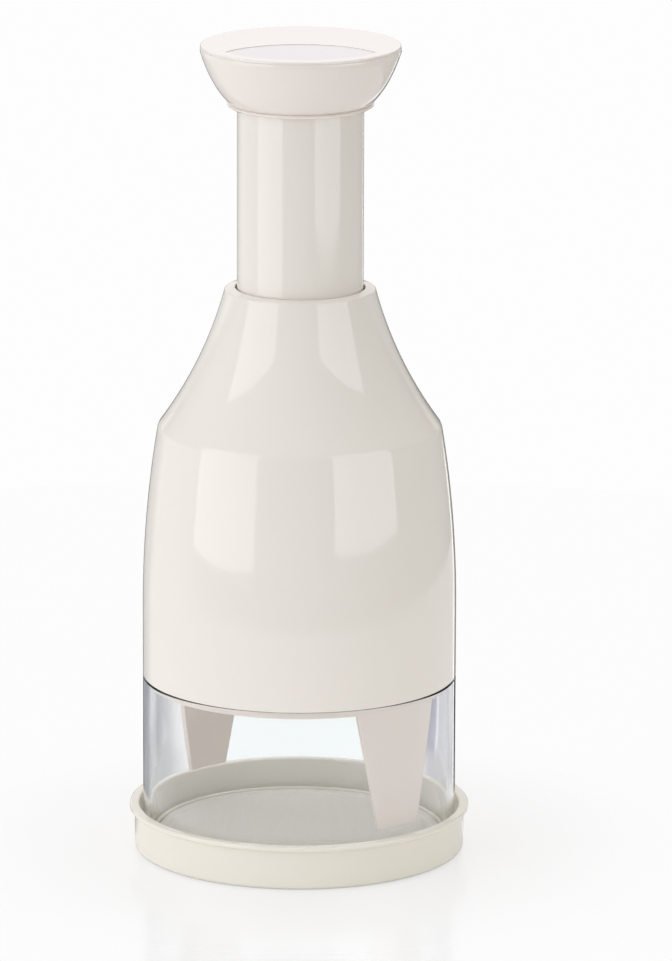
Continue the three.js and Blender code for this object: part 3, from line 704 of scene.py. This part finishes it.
def make_sleeve():
    """The sleeve's ring and legs, and the deck that holds the nut."""
    wall = sleeve_skin()
    applied(wall, "SOLIDIFY", thickness=SLEEVE_WALL * MM, offset=-1, use_even_offset=True)
    bevelled(wall, 0.22, 50)
    edge = SLEEVE_UPPER - SLEEVE_WALL + 0.1
    low, high = DECK[0], DECK[1] - 0.03
    deck = turned("deck", [(0, low), (edge, low), (edge, high), (0, high)])
    below, above = DECK[0] - CUT_OVER, DECK[1] + CUT_OVER
    cut(deck, rod("hexagon", 8.87, below, above, sides=6), *screw_holes("housing", below, above))
    joined(wall, deck)
    done(wall, "sleeve_plastic", "housing", "inner_sleeve")


def make_neck_bush():
    bore, outer, low, high = 18.3, 19.7, 147.4, 162.3
    flange = [(22.0, low), (22.0, 149.0)]
    obj = turned("neck_slide", [(bore, low), *flange, (outer, 149.0), (outer, high), (bore, high)])
    soften(obj, [(bore, low), *flange, (outer, high), (bore, high)], 0.25, 2)
    done(obj, "slide_plastic", "housing", "neck_bush")


def make_guide_nut():
    """A hexagon with a flange and a neck above it, and the shaft's twisted hole through all."""
    rim, low, top = 10.97, DECK[1], 99.0
    obj = rod("shaft_nut", 8.574, DECK[0], low + 0.2, sides=6)
    flange = turned("nut_flange", [
        (0, low), (rim, low), (rim, NUT_SEAT), (NUT_NECK, NUT_SEAT), (NUT_NECK, top), (0, top),
    ])
    soften(flange, [(rim, NUT_SEAT), (NUT_NECK, top), (rim, low)], 0.3, 3)
    combined(obj, "UNION", flange)
    cut(obj, twisted("nut_hole", SHAFT_HOLE, DECK[0] - CUT_OVER, top + CUT_OVER, 0.55))
    done(obj, "slide_plastic", "housing", "guide_nut")


def make_spring_seat():
    inner, outer, low, high = 7.17, 10.57, NUT_SEAT, SPRING_SEAT
    obj = turned("spring_washer", [(inner, low), (outer, low), (outer, high), (inner, high)], RING_SIDES)
    soften(obj, [(outer, high), (inner, high), (outer, low)], 0.15, 2)
    done(obj, "spring_steel", "housing", "spring_seat")


# Plunger and knob

def make_tube():
    """The tube with its flange below, its end wall above and the knob's screw bosses."""
    inner, bearing, end_wall = TUBE - TUBE_WALL, 7.1, 219.35
    flange, flange_low, flange_high = 20.3, 144.6, 147.1
    obj = turned("press_tube", [
        (inner, flange_low), (flange, flange_low), (flange, flange_high), (TUBE, flange_high),
        (TUBE, 170), (TUBE, 195), (TUBE, TUBE_TOP), (5.6, TUBE_TOP), (5.6, BEARING_LOW),
        (bearing, BEARING_LOW), (bearing, end_wall), (inner, end_wall),
    ], TUBE_SIDES)
    soften(obj, [
        (flange, flange_low), (flange, flange_high), (inner, flange_low), (bearing, BEARING_LOW),
    ], 0.35, 3)
    soften(obj, [(TUBE, TUBE_TOP)], 0.4, 3)
    combined(obj, "UNION", *[
        rod(f"tube_boss_{i}", 3.0, 209.75, 220.5, place) for i, place in enumerate(SCREW_PLACES["knob"])
    ])
    cut(obj, *screw_holes("knob", 213.25, 223))
    done(obj, "ivory_plastic", "plunger", "plunger_tube")


def make_collar():
    bore, low, high = 18.3, 217.07, 218.24
    edge, wide, wide_top = (20.0, low), (20.9, 217.6), (20.9, 217.8)
    obj = turned("collar_ring", [
        (bore, low), edge, wide, wide_top, (20.2, high), (bore, high),
    ], TUBE_SIDES)
    soften(obj, [edge, wide], 0.2, 3)
    soften(obj, [wide_top, (bore, low)], 0.1, 2)
    done(obj, "knob_plastic", "plunger", "stop_ring")


def make_shaft_bush():
    inner, outer, flange, low, top = 3.3, 5.3, 6.6, BEARING_LOW, 222.75
    obj = turned("bearing_bush", [
        (inner, low), (outer, low), (outer, TUBE_TOP), (flange, TUBE_TOP), (flange, top), (inner, top),
    ], RING_SIDES)
    soften(obj, [(inner, low), (outer, low), (flange, top), (inner, top)], 0.2, 2)
    done(obj, "bush_brass", "plunger", "shaft_bush")


def make_knob_cup():
    foot, hole, (low, floor) = 18.3, 6.9, KNOB_FLOOR
    outside = bowl_curve(0, 26)
    inside = [(r, z) for r, z in bowl_curve(SHELL, 20) if z > 224.6]
    obj = turned("knob_cup", [
        (foot, KNOB_LOW), *outside, (KNOB, KNOB_HIGH), (KNOB - SHELL, KNOB_HIGH),
        *reversed(inside), (inside[0][0], floor), (hole, floor), (hole, low), (foot, low),
    ], KNOB_SIDES)
    soften(obj, [(KNOB, KNOB_HIGH)], 0.3, 4)
    soften(obj, [(KNOB - SHELL, KNOB_HIGH)], 0.2, 2)
    soften(obj, [(KNOB_FOOT, KNOB_LOW)], 0.1, 2)
    soften(obj, [(hole, floor)], 0.3, 2)
    cut(obj, *screw_holes("knob", 221, 226))
    done(obj, "knob_plastic", "plunger", "knob_bowl")


def lens_block(name, inset, low, high):
    """The overlap of two round bars, one on the axis and one through it towards the front."""
    radius, sides = LENS - inset, 256
    obj = rod(name, radius, low, high, sides=sides)
    other = rod("lens_side", radius, low - CUT_OVER, high + CUT_OVER, (0, -LENS), sides)
    return combined(obj, "INTERSECT", other)


def make_knob_lid():
    """The cap, with a skirt that centres it in the bowl and a shallow lens cut into its front half."""
    skirt = [(24.05, 230.6), (25.45, 230.6)]
    obj = turned("knob_lid", [
        (0, CAP_LOW), (24.8, CAP_LOW), *skirt, (26.1, CAP_LOW),
        (26.3, CAP_EDGE), (CAP, CAP_EDGE), (CAP, CAP_TOP), (0, CAP_TOP),
    ], KNOB_SIDES)
    soften(obj, [(CAP, CAP_TOP)], 0.3, 5)
    soften(obj, [(CAP, CAP_EDGE)], 0.06, 1)
    soften(obj, skirt, 0.15, 2)
    cut(obj, lens_block("lens_cutter", 0, CAP_TOP - LENS_DEPTH, CAP_TOP + CUT_OVER))
    bevelled(obj, 0.07, 60)
    closed(obj)
    done(obj, "pale_plastic", "plunger", "knob_cap")


def make_lens_inlay():
    gap = 0.15
    obj = lens_block("lens_inlay", gap, CAP_TOP - LENS_DEPTH, CAP_TOP - gap)
    bevelled(obj, 0.06, 60)
    done(obj, "inlay_plastic", "plunger", "knob_inlay")


# Shaft, blades and wiper plate

def twisted(name, side, low, high, corner):
    """A square bar that turns evenly with its height above the carrier's hub."""
    begin()
    bpy.ops.mesh.primitive_plane_add(size=side * MM, location=(0, 0, low * MM))
    obj = named(name)
    edit(obj)
    bpy.ops.mesh.select_all(action="SELECT")
    bpy.ops.mesh.bevel(offset=corner * MM, segments=3, affect="VERTICES")
    start = max(low, TWIST_START)
    mark(obj, "FACE", lambda points: True)
    turn = TWIST_RATE * (start - TWIST_START)
    bpy.ops.transform.rotate(value=-turn, orient_axis="Z", center_override=(0, 0, low * MM))
    heights = steps(max(1, round((high - start) / TWIST_STEP)), start, high)
    if start > low:
        heights = [low, *heights]
    for below, above in zip(heights, heights[1:]):
        rise(above - below)
        turn = TWIST_RATE * (above - max(below, TWIST_START)) if above > TWIST_START else 0
        bpy.ops.transform.rotate(value=-turn, orient_axis="Z", center_override=(0, 0, above * MM))
    return closed(obj)


def make_shaft():
    """A twisted square bar that tapers to a round one, with a pilot hole in each end."""
    obj = twisted("drive_shaft", SHAFT_SIDE, SHAFT_LOW, SQUARE_TOP + 0.1, SHAFT_CORNER)
    collar = turned("shaft_shoulder", [
        (0, SQUARE_TOP), (4.75, SQUARE_TOP), (BAR, TAPER_TOP), (0, TAPER_TOP),
    ], SMALL)
    square = twisted("shaft_taper", SHAFT_SIDE, SQUARE_TOP, TAPER_TOP, SHAFT_CORNER)
    combined(collar, "INTERSECT", square)
    combined(obj, "UNION", collar, rod("shaft_bar", BAR, 150, SHAFT_TOP))
    cut(obj, rod("low_pilot", SCREW_HOLE, 83, 91.7), rod("high_pilot", SCREW_HOLE, 213.05, 224))
    done(obj, "blade_steel", "blades", "twist_shaft")


def zigzag(name, side, thick, low, high, bevel_top=None, reach=0.0):
    """A strip stood on edge and extruded from bend to bend, its bends rounded, then given its thickness."""
    path = [
        Vector((side * (BLADE_OFFSET + (BLADE_SWING if i % 2 else -BLADE_SWING)), y, 0))
        for i, y in enumerate(steps(BLADE_ZIGS, -BLADE_REACH, BLADE_REACH))
    ]
    path[0] += (path[0] - path[1]).normalized() * reach
    path[-1] += (path[-1] - path[-2]).normalized() * reach
    first = path[1] - path[0]
    middle = (path[0] + path[1]) / 2

    def at(bend):
        return lambda points: all(hypot(p.x - bend.x, p.y - bend.y) < SNAP for p in points)

    begin()
    bpy.ops.mesh.primitive_plane_add(
        size=MM,
        location=(middle.x * MM, middle.y * MM, (low + high) / 2 * MM),
        rotation=(pi / 2, 0, atan2(first.y, first.x)),
    )
    bpy.context.object.scale = (first.length, high - low, 1)
    obj = named(name)
    edit(obj)
    for near, far in zip(path[1:], path[2:]):
        mark(obj, "EDGE", at(near))
        bpy.ops.mesh.extrude_region_move(TRANSFORM_OT_translate={"value": tuple((far - near) * MM)})
    if bevel_top is not None:
        bpy.ops.mesh.select_all(action="SELECT")
        bpy.ops.mesh.bisect(plane_co=(0, 0, bevel_top * MM), plane_no=(0, 0, 1))
    mark(obj, "EDGE", lambda points: any(at(bend)(points) for bend in path[1:-1]))
    bpy.ops.mesh.bevel(offset=BEND * MM, segments=4, profile=0.5, affect="EDGES")
    bpy.ops.mesh.select_all(action="SELECT")
    bpy.ops.mesh.normals_make_consistent(inside=False)
    bpy.ops.object.mode_set(mode="OBJECT")
    settings = {}
    if bevel_top is not None:
        ground = obj.vertex_groups.new(name="full_thickness")
        full = [v.index for v in obj.data.vertices if v.co.z > (low + SNAP) * MM]
        ground.add(full, 1.0, "REPLACE")
        settings = {"vertex_group": "full_thickness", "thickness_vertex_group": EDGE_SHARE}
    applied(obj, "SOLIDIFY", thickness=thick * MM, offset=0, use_even_offset=True, **settings)
    return closed(obj)


def make_blades():
    for i, side in enumerate((-1, 1), 1):
        obj = zigzag(f"blade_{i}", side, BLADE_THICK, BLADE_LOW, BLADE_HIGH, BLADE_BEVEL_TOP)
        done(obj, "blade_steel", "blades", f"zigzag_blade_{i}", angle=25)


def blade_slots(low, high):
    wide = BLADE_THICK + 2 * SLIDE_FIT
    return [zigzag(f"slot_{side}", side, wide, low, high, reach=SLIDE_FIT) for side in (-1, 1)]


def make_carrier():
    """A disc with a channel in its top, a hub with the shaft's square hole, and the blades' slots."""
    radius, low, high = CARRIER
    hub, top = HUB
    channel = high - 0.8
    obj = turned("carrier", [
        (0, low), (radius, low), (radius, high), (34.4, high), (33.8, channel), (12.8, channel),
        (12.2, high), (hub, high), (hub, top), (0, top),
    ])
    soften(obj, [(radius, low), (radius, high), (hub, top)], 0.4, 3)
    cut(obj, *blade_slots(low - CUT_OVER, BLADE_HIGH + SLIDE_FIT))
    begin()
    middle = SHAFT_LOW + SHAFT_HOLE / 2
    bpy.ops.mesh.primitive_cube_add(size=SHAFT_HOLE * MM, location=(0, 0, middle * MM))
    square = named("square_hole")
    edit(square)
    mark(square, "FACE", lambda points: all(p.z > top for p in points))
    bpy.ops.transform.translate(value=(0, 0, 3 * MM))
    bpy.ops.object.mode_set(mode="OBJECT")
    below = low - CUT_OVER
    pins = [rod(f"pin_hole_{i}", SCREW_HOLE, below, 84.0, (0, y)) for i, y in enumerate(PIN_PLACES)]
    cut(obj, square, rod("screw_hole", SCREW_HOLE, below, 85), *pins)
    done(obj, "ivory_plastic", "blades", "blade_carrier")


def make_wiper():
    radius, low, high = WIPER
    below, above = low - CUT_OVER, high + CUT_OVER
    obj = turned("wiper", [(0, low), (radius, low), (radius, high), (0, high)])
    soften(obj, [(radius, low), (radius, high)], 0.4, 3)
    cut(obj, *blade_slots(below, above))
    for i, y in enumerate(PIN_PLACES):
        way = rod(f"pin_way_{i}", SCREW_HOLE, below, above, (0, y))
        cut(obj, way, rod(f"head_way_{i}", 3.0, below, low + 1.8, (0, y)))
    done(obj, "ivory_plastic", "wiper", "wiper_plate")


def on_pins(blank, name):
    """The two copies of a piece that stand where the guide pins are."""
    pair = [copied(blank, f"{name}_{i}", (0, y, 0)) for i, y in enumerate(PIN_PLACES, 1)]
    bpy.data.objects.remove(blank)
    return pair


def make_pins():
    low, head_top = 56.0, 57.2
    head = [(PIN_HEAD, low), (PIN_HEAD, head_top)]
    blank = turned("pin", [(0, low), *head, (PIN, head_top), (PIN, BLADE_HIGH), (0, BLADE_HIGH)], SMALL)
    soften(blank, [*head, (PIN, BLADE_HIGH)], 0.25, 3)
    for i, obj in enumerate(on_pins(blank, "guide_rod"), 1):
        done(obj, "blade_steel", "blades", f"wiper_guide_pin_{i}")


# Springs, screws and washers

def coil(name, radius, wire, low, runs, sides=10, turn_steps=28, tilt=0.0):
    """A wire's section swept up in runs of even pitch, joined end to end and closed."""
    parts = []
    height = low
    for i, (pitch, curls) in enumerate(runs):
        begin()
        bpy.ops.mesh.primitive_circle_add(
            vertices=sides, radius=wire * MM, location=(radius * MM, 0, height * MM),
            rotation=(pi / 2, tilt, 0),
        )
        parts.append(applied(
            named(f"{name}_{i}"), "SCREW", axis="Z", angle=2 * pi, screw_offset=pitch * MM,
            iterations=curls, steps=turn_steps, render_steps=turn_steps, use_merge_vertices=False,
        ))
        height += pitch * curls
    obj = joined(*parts) if len(parts) > 1 else parts[0]
    obj.name = obj.data.name = name
    edit(obj)
    bpy.ops.mesh.select_all(action="SELECT")
    bpy.ops.mesh.remove_doubles(threshold=WELD * MM)
    bpy.ops.mesh.select_mode(type="EDGE")
    bpy.ops.mesh.select_all(action="DESELECT")
    bpy.ops.mesh.select_non_manifold()
    bpy.ops.mesh.fill_holes(sides=0)
    return closed(obj)


def make_springs():
    main = coil("main_spring", radius=8.9, wire=0.8, low=97.1, runs=[(2.3, 1), (8.965, 13), (2.3, 1)])
    done(main, "spring_steel", "housing", "return_spring", angle=60)
    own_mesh(main)
    blank = coil(
        "plate_spring", radius=2.85, wire=0.35, low=59.35, runs=[(1.4, 1), (6.3, 3), (1.4, 1)],
        sides=8, turn_steps=20,
    )
    for i, (obj, y) in enumerate(zip(on_pins(blank, "plate_spring"), PIN_PLACES), 1):
        done(obj, "spring_steel", "blades", f"wiper_spring_{i}", angle=60)
        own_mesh(obj)


def make_screws():
    """Copies of one screw, whose head stands on the origin, and of one washer."""
    screw = turned("screw", [
        (0, -10), (0.8, -10), (1.25, -9.3), (1.25, 0), (2.9, 0), (2.9, 1.7), (2.6, 2.1), (2.3, 2.2),
        (0, 2.2),
    ], sides=32)
    cut(screw, rod("drive", radius=1.3, low=1.0, high=3.0, sides=6))
    thread = coil(
        "thread", radius=1.27, wire=0.23, low=-9.0, runs=[(0.7, 12)], sides=3, turn_steps=24, tilt=pi / 2
    )
    joined(screw, thread)
    under_carrier = CARRIER[1] - WASHER
    places = [
        *((f"housing_screw_{i}", (x, y, DECK[0]), pi, "housing")
          for i, (x, y) in enumerate(SCREW_PLACES["housing"], 1)),
        *((f"knob_screw_{i}", (x, y, KNOB_FLOOR[1]), 0, "plunger")
          for i, (x, y) in enumerate(SCREW_PLACES["knob"], 1)),
        ("shaft_screw", (0, 0, SHAFT_TOP + WASHER), 0, "blades"),
        ("carrier_screw", (0, 0, under_carrier), pi, "blades"),
    ]
    for node, place, tilt, body in places:
        twin = copied(screw, node.replace("screw", "bolt"), place, (tilt, 0, 0))
        done(twin, "spring_steel", body, node)
    inner, rim = SCREW_HOLE, 5.5
    ring = turned("washer", [(inner, 0), (rim, 0), (rim, WASHER), (inner, WASHER)], RING_SIDES)
    soften(ring, [(rim, 0), (rim, WASHER), (inner, 0), (inner, WASHER)], 0.18, 3)
    for node, height in (("shaft_washer", SHAFT_TOP), ("carrier_washer", under_carrier)):
        twin = copied(ring, node.replace("washer", "disc"), (0, 0, height))
        done(twin, "spring_steel", "blades", node)
    for blank in (screw, ring):
        bpy.data.objects.remove(blank)


# Studio, in metres

WHITE = grey(0.985)
LAMP_DISTANCE = 0.72
FLOOR_RADIUS = 0.395


def make_camera():
    """The camera that took the photograph, as its picture shows it."""
    tilt, distance, aim = radians(13.70), 2.236, 0.108
    data = bpy.data.cameras.new("camera")
    camera = bpy.data.objects.new("camera", data)
    bpy.context.collection.objects.link(camera)
    camera.location = (0, -distance * cos(tilt), aim + distance * sin(tilt))
    camera.rotation_mode = "ZYX"
    camera.rotation_euler = (pi / 2 - tilt, 0, radians(0.13))
    data.lens = 292.6
    data.sensor_width = 36
    data.shift_x = 0.0377
    data.clip_end = 50
    bpy.context.scene.camera = camera


def softbox(name, place, turn, width, height, strength, tint=(1, 1, 1)):
    """A lamp that the camera doesn't see, of this strength at each point of its face."""
    data = bpy.data.lights.new(name, "AREA")
    data.shape = "RECTANGLE"
    data.size, data.size_y = width, height
    data.energy = strength * pi * width * height
    data.color = tint
    obj = bpy.data.objects.new(name, data)
    bpy.context.collection.objects.link(obj)
    obj.location = place
    obj.rotation_euler = turn
    obj.visible_camera = False
    return obj


def panel(name, azimuth, low, high, width, strength, tint=(1, 1, 1)):
    """An upright softbox that faces the object, at an azimuth counted from the camera's side."""
    turn = radians(azimuth)
    place = (LAMP_DISTANCE * sin(turn), -LAMP_DISTANCE * cos(turn), (low + high) / 2)
    return softbox(name, place, (pi / 2, 0, turn), width, high - low, strength, tint)


def make_lamps():
    """Softboxes that light the object, and panels that only its gloss shows."""
    for name, azimuth, strength, tint in (
        ("left_softbox", -52, 1.45, (1, 1, 1)),
        ("front_fill", 12, 0.5, (1, 0.985, 0.985)),
        ("right_softbox", 60, 0.66, (1, 0.98, 0.86)),
    ):
        lamp = panel(name, azimuth, low=-0.05, high=0.95, width=0.63, strength=strength, tint=tint)
        lamp.visible_glossy = False
    for name, azimuth, low in (("left_window", -58, -0.005), ("right_window", 51, 0.025)):
        shown = panel(name, azimuth, low, high=0.61, width=0.68, strength=1.9)
        shown.visible_diffuse = False
    softbox("overhead_softbox", (0, 0, 1.25), (0, 0, 0), width=1.0, height=1.0, strength=1.2)


# Azimuth in degrees, counted from the camera's side, and brightness
ROOM = [
    (-180, 1.0), (-178, 1.0), (-177, 0.05), (-168, 0.05), (-166, 0.42), (-143, 0.42), (-137, 0.85),
    (-90, 0.8), (-80, 0.45), (-30, 0.3), (-26, 0.2), (26, 0.2), (30, 0.3), (76, 0.35), (120, 0.3),
    (150, 0.35), (161.3, 0.35), (162.3, 0.03), (177, 0.03), (178, 1.0), (180, 1.0),
]
BRIGHT_LINE = [(156.5, 0), (157.3, 1), (161.3, 1), (162, 0)]
BACK_TINT = (1.0, 0.965, 0.97, 1)


def make_world():
    """White behind the object and for clear walls, and a room of pale and dark sides for its gloss."""
    world = bpy.data.worlds.new("studio")
    bpy.context.scene.world = world
    world.use_nodes = True
    tree = world.node_tree
    tree.nodes.clear()
    direction = add(tree, "ShaderNodeTexCoord").outputs["Generated"]
    right, back, up = add(tree, "ShaderNodeSeparateXYZ", {0: direction}).outputs
    path = add(tree, "ShaderNodeLightPath").outputs

    azimuth = math(tree, "ARCTAN2", right, math(tree, "MULTIPLY", back, -1.0))
    share = math(tree, "ADD", math(tree, "DIVIDE", azimuth, 2 * pi), 0.5)
    sides, line = (
        graded(tree, share, [((angle + 180) / 360, grey(value)) for angle, value in stops]).outputs["Color"]
        for stops in (ROOM, BRIGHT_LINE)
    )
    low = math(tree, "SUBTRACT", 1.0, step_of(tree, up, -0.19, -0.17))
    sides = blended(tree, math(tree, "MULTIPLY", line, low), sides, grey(1.6))
    above = step_of(tree, up, 0.03, 0.1)
    high_back = math(tree, "MULTIPLY", above, step_of(tree, back, 0.1, 0.4))
    sides = blended(tree, high_back, sides, BACK_TINT)
    not_behind = math(tree, "SUBTRACT", 1.0, step_of(tree, back, 0.8, 0.93))
    high_front = math(tree, "MULTIPLY", above, not_behind)
    mirrored = math(tree, "MULTIPLY", high_front, path["Is Glossy Ray"])
    sides = blended(tree, mirrored, sides, grey(0.1))

    through = math(tree, "MULTIPLY", path["Is Transmission Ray"], step_of(tree, back, 0.8, 0.9))
    plain = math(tree, "MAXIMUM", path["Is Camera Ray"], through)
    room = shader_of(tree, "ShaderNodeBackground", sides)
    white = shader_of(tree, "ShaderNodeBackground", WHITE)
    add(tree, "ShaderNodeOutputWorld", {"Surface": either(tree, plain, room, white)})


# Painted shade on the floor that only rays through the clear wall see, far from it and near: white in the
# middle and painted grey and dark bands towards the sides. A place from -1, left, to 1, right, and its red,
# green and blue
PAINTED_SHADE_FAR = [
    (-0.9, 0.8, 0.82, 0.86), (-0.7, 0.6, 0.63, 0.68), (-0.5, 0.42, 0.44, 0.49),
    (-0.24, 0.42, 0.44, 0.49), (-0.2, 0.52, 0.53, 0.55), (-0.14, 0.62, 0.62, 0.63),
    (-0.1, 0.84, 0.84, 0.85), (-0.06, 0.93, 0.93, 0.93), (0, 0.968, 1, 0.99), (0.08, 0.968, 1, 0.99),
    (0.11, 0.38, 0.37, 0.46), (0.18, 0.38, 0.37, 0.46), (0.19, 0.85, 0.84, 0.89),
    (0.205, 0.85, 0.84, 0.89), (0.215, 0.55, 0.54, 0.58), (0.45, 0.55, 0.54, 0.58),
    (0.5, 0.8, 0.8, 0.83), (0.8, 0.6, 0.6, 0.63),
]
PAINTED_SHADE_NEAR = [
    (-0.55, 0.45, 0.47, 0.49), (-0.2, 0.5, 0.51, 0.53), (-0.14, 0.58, 0.585, 0.6),
    (-0.064, 0.82, 0.82, 0.83), (0, 0.968, 1, 0.99), (0.1, 0.8, 0.8, 0.83), (0.15, 0.58, 0.57, 0.61),
    (0.8, 0.62, 0.62, 0.65),
]
# A place from -1 to 1 as above, the painted strip's brightness and how much it shows
EDGES = [
    (-0.78, 0.42, 0), (-0.74, 0.42, 1), (-0.24, 0.42, 1), (-0.21, 0.05, 1), (-0.05, 0.05, 1),
    (-0.03, 0.05, 0), (0.03, 0.03, 0), (0.05, 0.03, 1), (0.319, 0.03, 1), (0.339, 1.6, 1),
    (0.418, 1.6, 1), (0.45, 0.9, 0),
]


def signed_slope(tree, across, back, start):
    """How far a point on the floor lies outwards of a line behind the object, as a share from 0 to 1."""
    outward = math(tree, "SUBTRACT", math(tree, "ABSOLUTE", across), start)
    slope = math(tree, "DIVIDE", math(tree, "MAXIMUM", outward, 0), math(tree, "MAXIMUM", back, 0.001))
    signed = math(tree, "MULTIPLY", slope, math(tree, "SIGN", across))
    return math(tree, "ADD", math(tree, "MULTIPLY", signed, 0.5), 0.5)


def painted_shade_behind_wall(tree, across, back):
    """Painted shade behind the clear wall, which only rays through it see: white in the middle, grey with
    painted dark streaks to its sides.
    """
    middle = 0.034
    share = signed_slope(tree, across, back, middle)
    far, near = (
        graded(tree, share, [((place + 1) / 2, (*tone, 1)) for place, *tone in stops]).outputs["Color"]
        for stops in (PAINTED_SHADE_FAR, PAINTED_SHADE_NEAR)
    )
    # painted dark streaks, seen through the clear wall towards its sides
    lines = add(tree, "ShaderNodeTexNoise", {"W": across, "Scale": 160, "Detail": 3}, noise_dimensions="1D")
    streaks = blended(tree, lines.outputs[0], (0.82, 0.82, 0.83, 1), grey(1.1))
    streaked = blended(tree, 1.0, far, streaks, "MULTIPLY")
    sideways = step_of(tree, math(tree, "ABSOLUTE", across), middle, 0.042)
    far = blended(tree, sideways, far, streaked)
    return blended(tree, step_of(tree, back, 0.085, 0.115), near, far)


def edge_strips(tree, across, back):
    """Painted dark and bright strips that run backwards on the floor, which only glossy rays see: painted
    reflections along the object's outlines.
    """
    share = signed_slope(tree, across, back, BODY * MM)
    stops = [((place + 1) / 2, (value, value, value, amount)) for place, value, amount in EDGES]
    ramp = graded(tree, share, stops).outputs
    return math(tree, "MULTIPLY", ramp["Alpha"], step_of(tree, back, 0.0, 0.02)), ramp["Color"]


def make_floor():
    """A pale glossy floor. The camera sees white, with the object's shadow and reflection near it. Glossy
    rays see painted dark and bright strips on it, and rays through the clear wall see painted shade.
    """
    begin()
    bpy.ops.mesh.primitive_circle_add(
        vertices=ROUND, radius=FLOOR_RADIUS, location=(0, 0.05, -0.0002), fill_type="NGON"
    )
    floor = named("floor")
    material = bpy.data.materials.new("floor_white")
    material.use_nodes = True
    tree = material.node_tree
    tree.nodes.clear()
    place = add(tree, "ShaderNodeTexCoord").outputs["Object"]
    across, back, _ = add(tree, "ShaderNodeSeparateXYZ", {0: place}).outputs
    path = add(tree, "ShaderNodeLightPath").outputs

    distance = add(tree, "ShaderNodeVectorMath", {0: place}, operation="LENGTH").outputs["Value"]
    far = step_of(tree, distance, 0.05, 0.13)
    near = math(tree, "MULTIPLY", math(tree, "SUBTRACT", 1.0, far), 0.3)
    matt = shader_of(tree, "ShaderNodeBsdfDiffuse", grey(0.9))
    glow = shader_of(tree, "ShaderNodeEmission", WHITE)
    rough = math(tree, "ADD", math(tree, "MULTIPLY", noise(tree, place, 30, 2.0), 0.06), 0.12)
    sheen = shader_of(tree, "ShaderNodeBsdfGlossy", WHITE, Roughness=rough)
    shown = either(tree, near, either(tree, 0.16, glow, sheen), matt)

    # glowing and dark strips painted on the floor, which the object's outlines show as painted reflections
    amount, tone = edge_strips(tree, across, back)
    strips = shader_of(tree, "ShaderNodeEmission", tone)
    amount = math(tree, "MULTIPLY", amount, path["Is Glossy Ray"])
    lit = either(tree, path["Is Camera Ray"], either(tree, amount, matt, strips), shown)

    # Rays through the clear wall see painted shade and painted dark streaks on the floor behind it.
    through = shader_of(tree, "ShaderNodeEmission", painted_shade_behind_wall(tree, across, back))
    window = step_of(tree, back, 0.045, 0.07)
    clear = math(tree, "MULTIPLY", path["Is Transmission Ray"], window)
    add(tree, "ShaderNodeOutputMaterial", {"Surface": either(tree, clear, lit, through)})
    floor.data.materials.append(material)


for make in (
    make_camera, make_world, make_lamps, make_floor, make_finishes, make_dish, make_board,
    make_container, make_body, make_sleeve, make_neck_bush, make_guide_nut, make_spring_seat, make_tube,
    make_collar, make_shaft_bush, make_knob_cup, make_knob_lid, make_lens_inlay, make_shaft,
    make_blades, make_carrier, make_wiper, make_pins, make_springs, make_screws,
):
    make()
begin()

bpy.context.scene.view_settings.view_transform = "Standard"
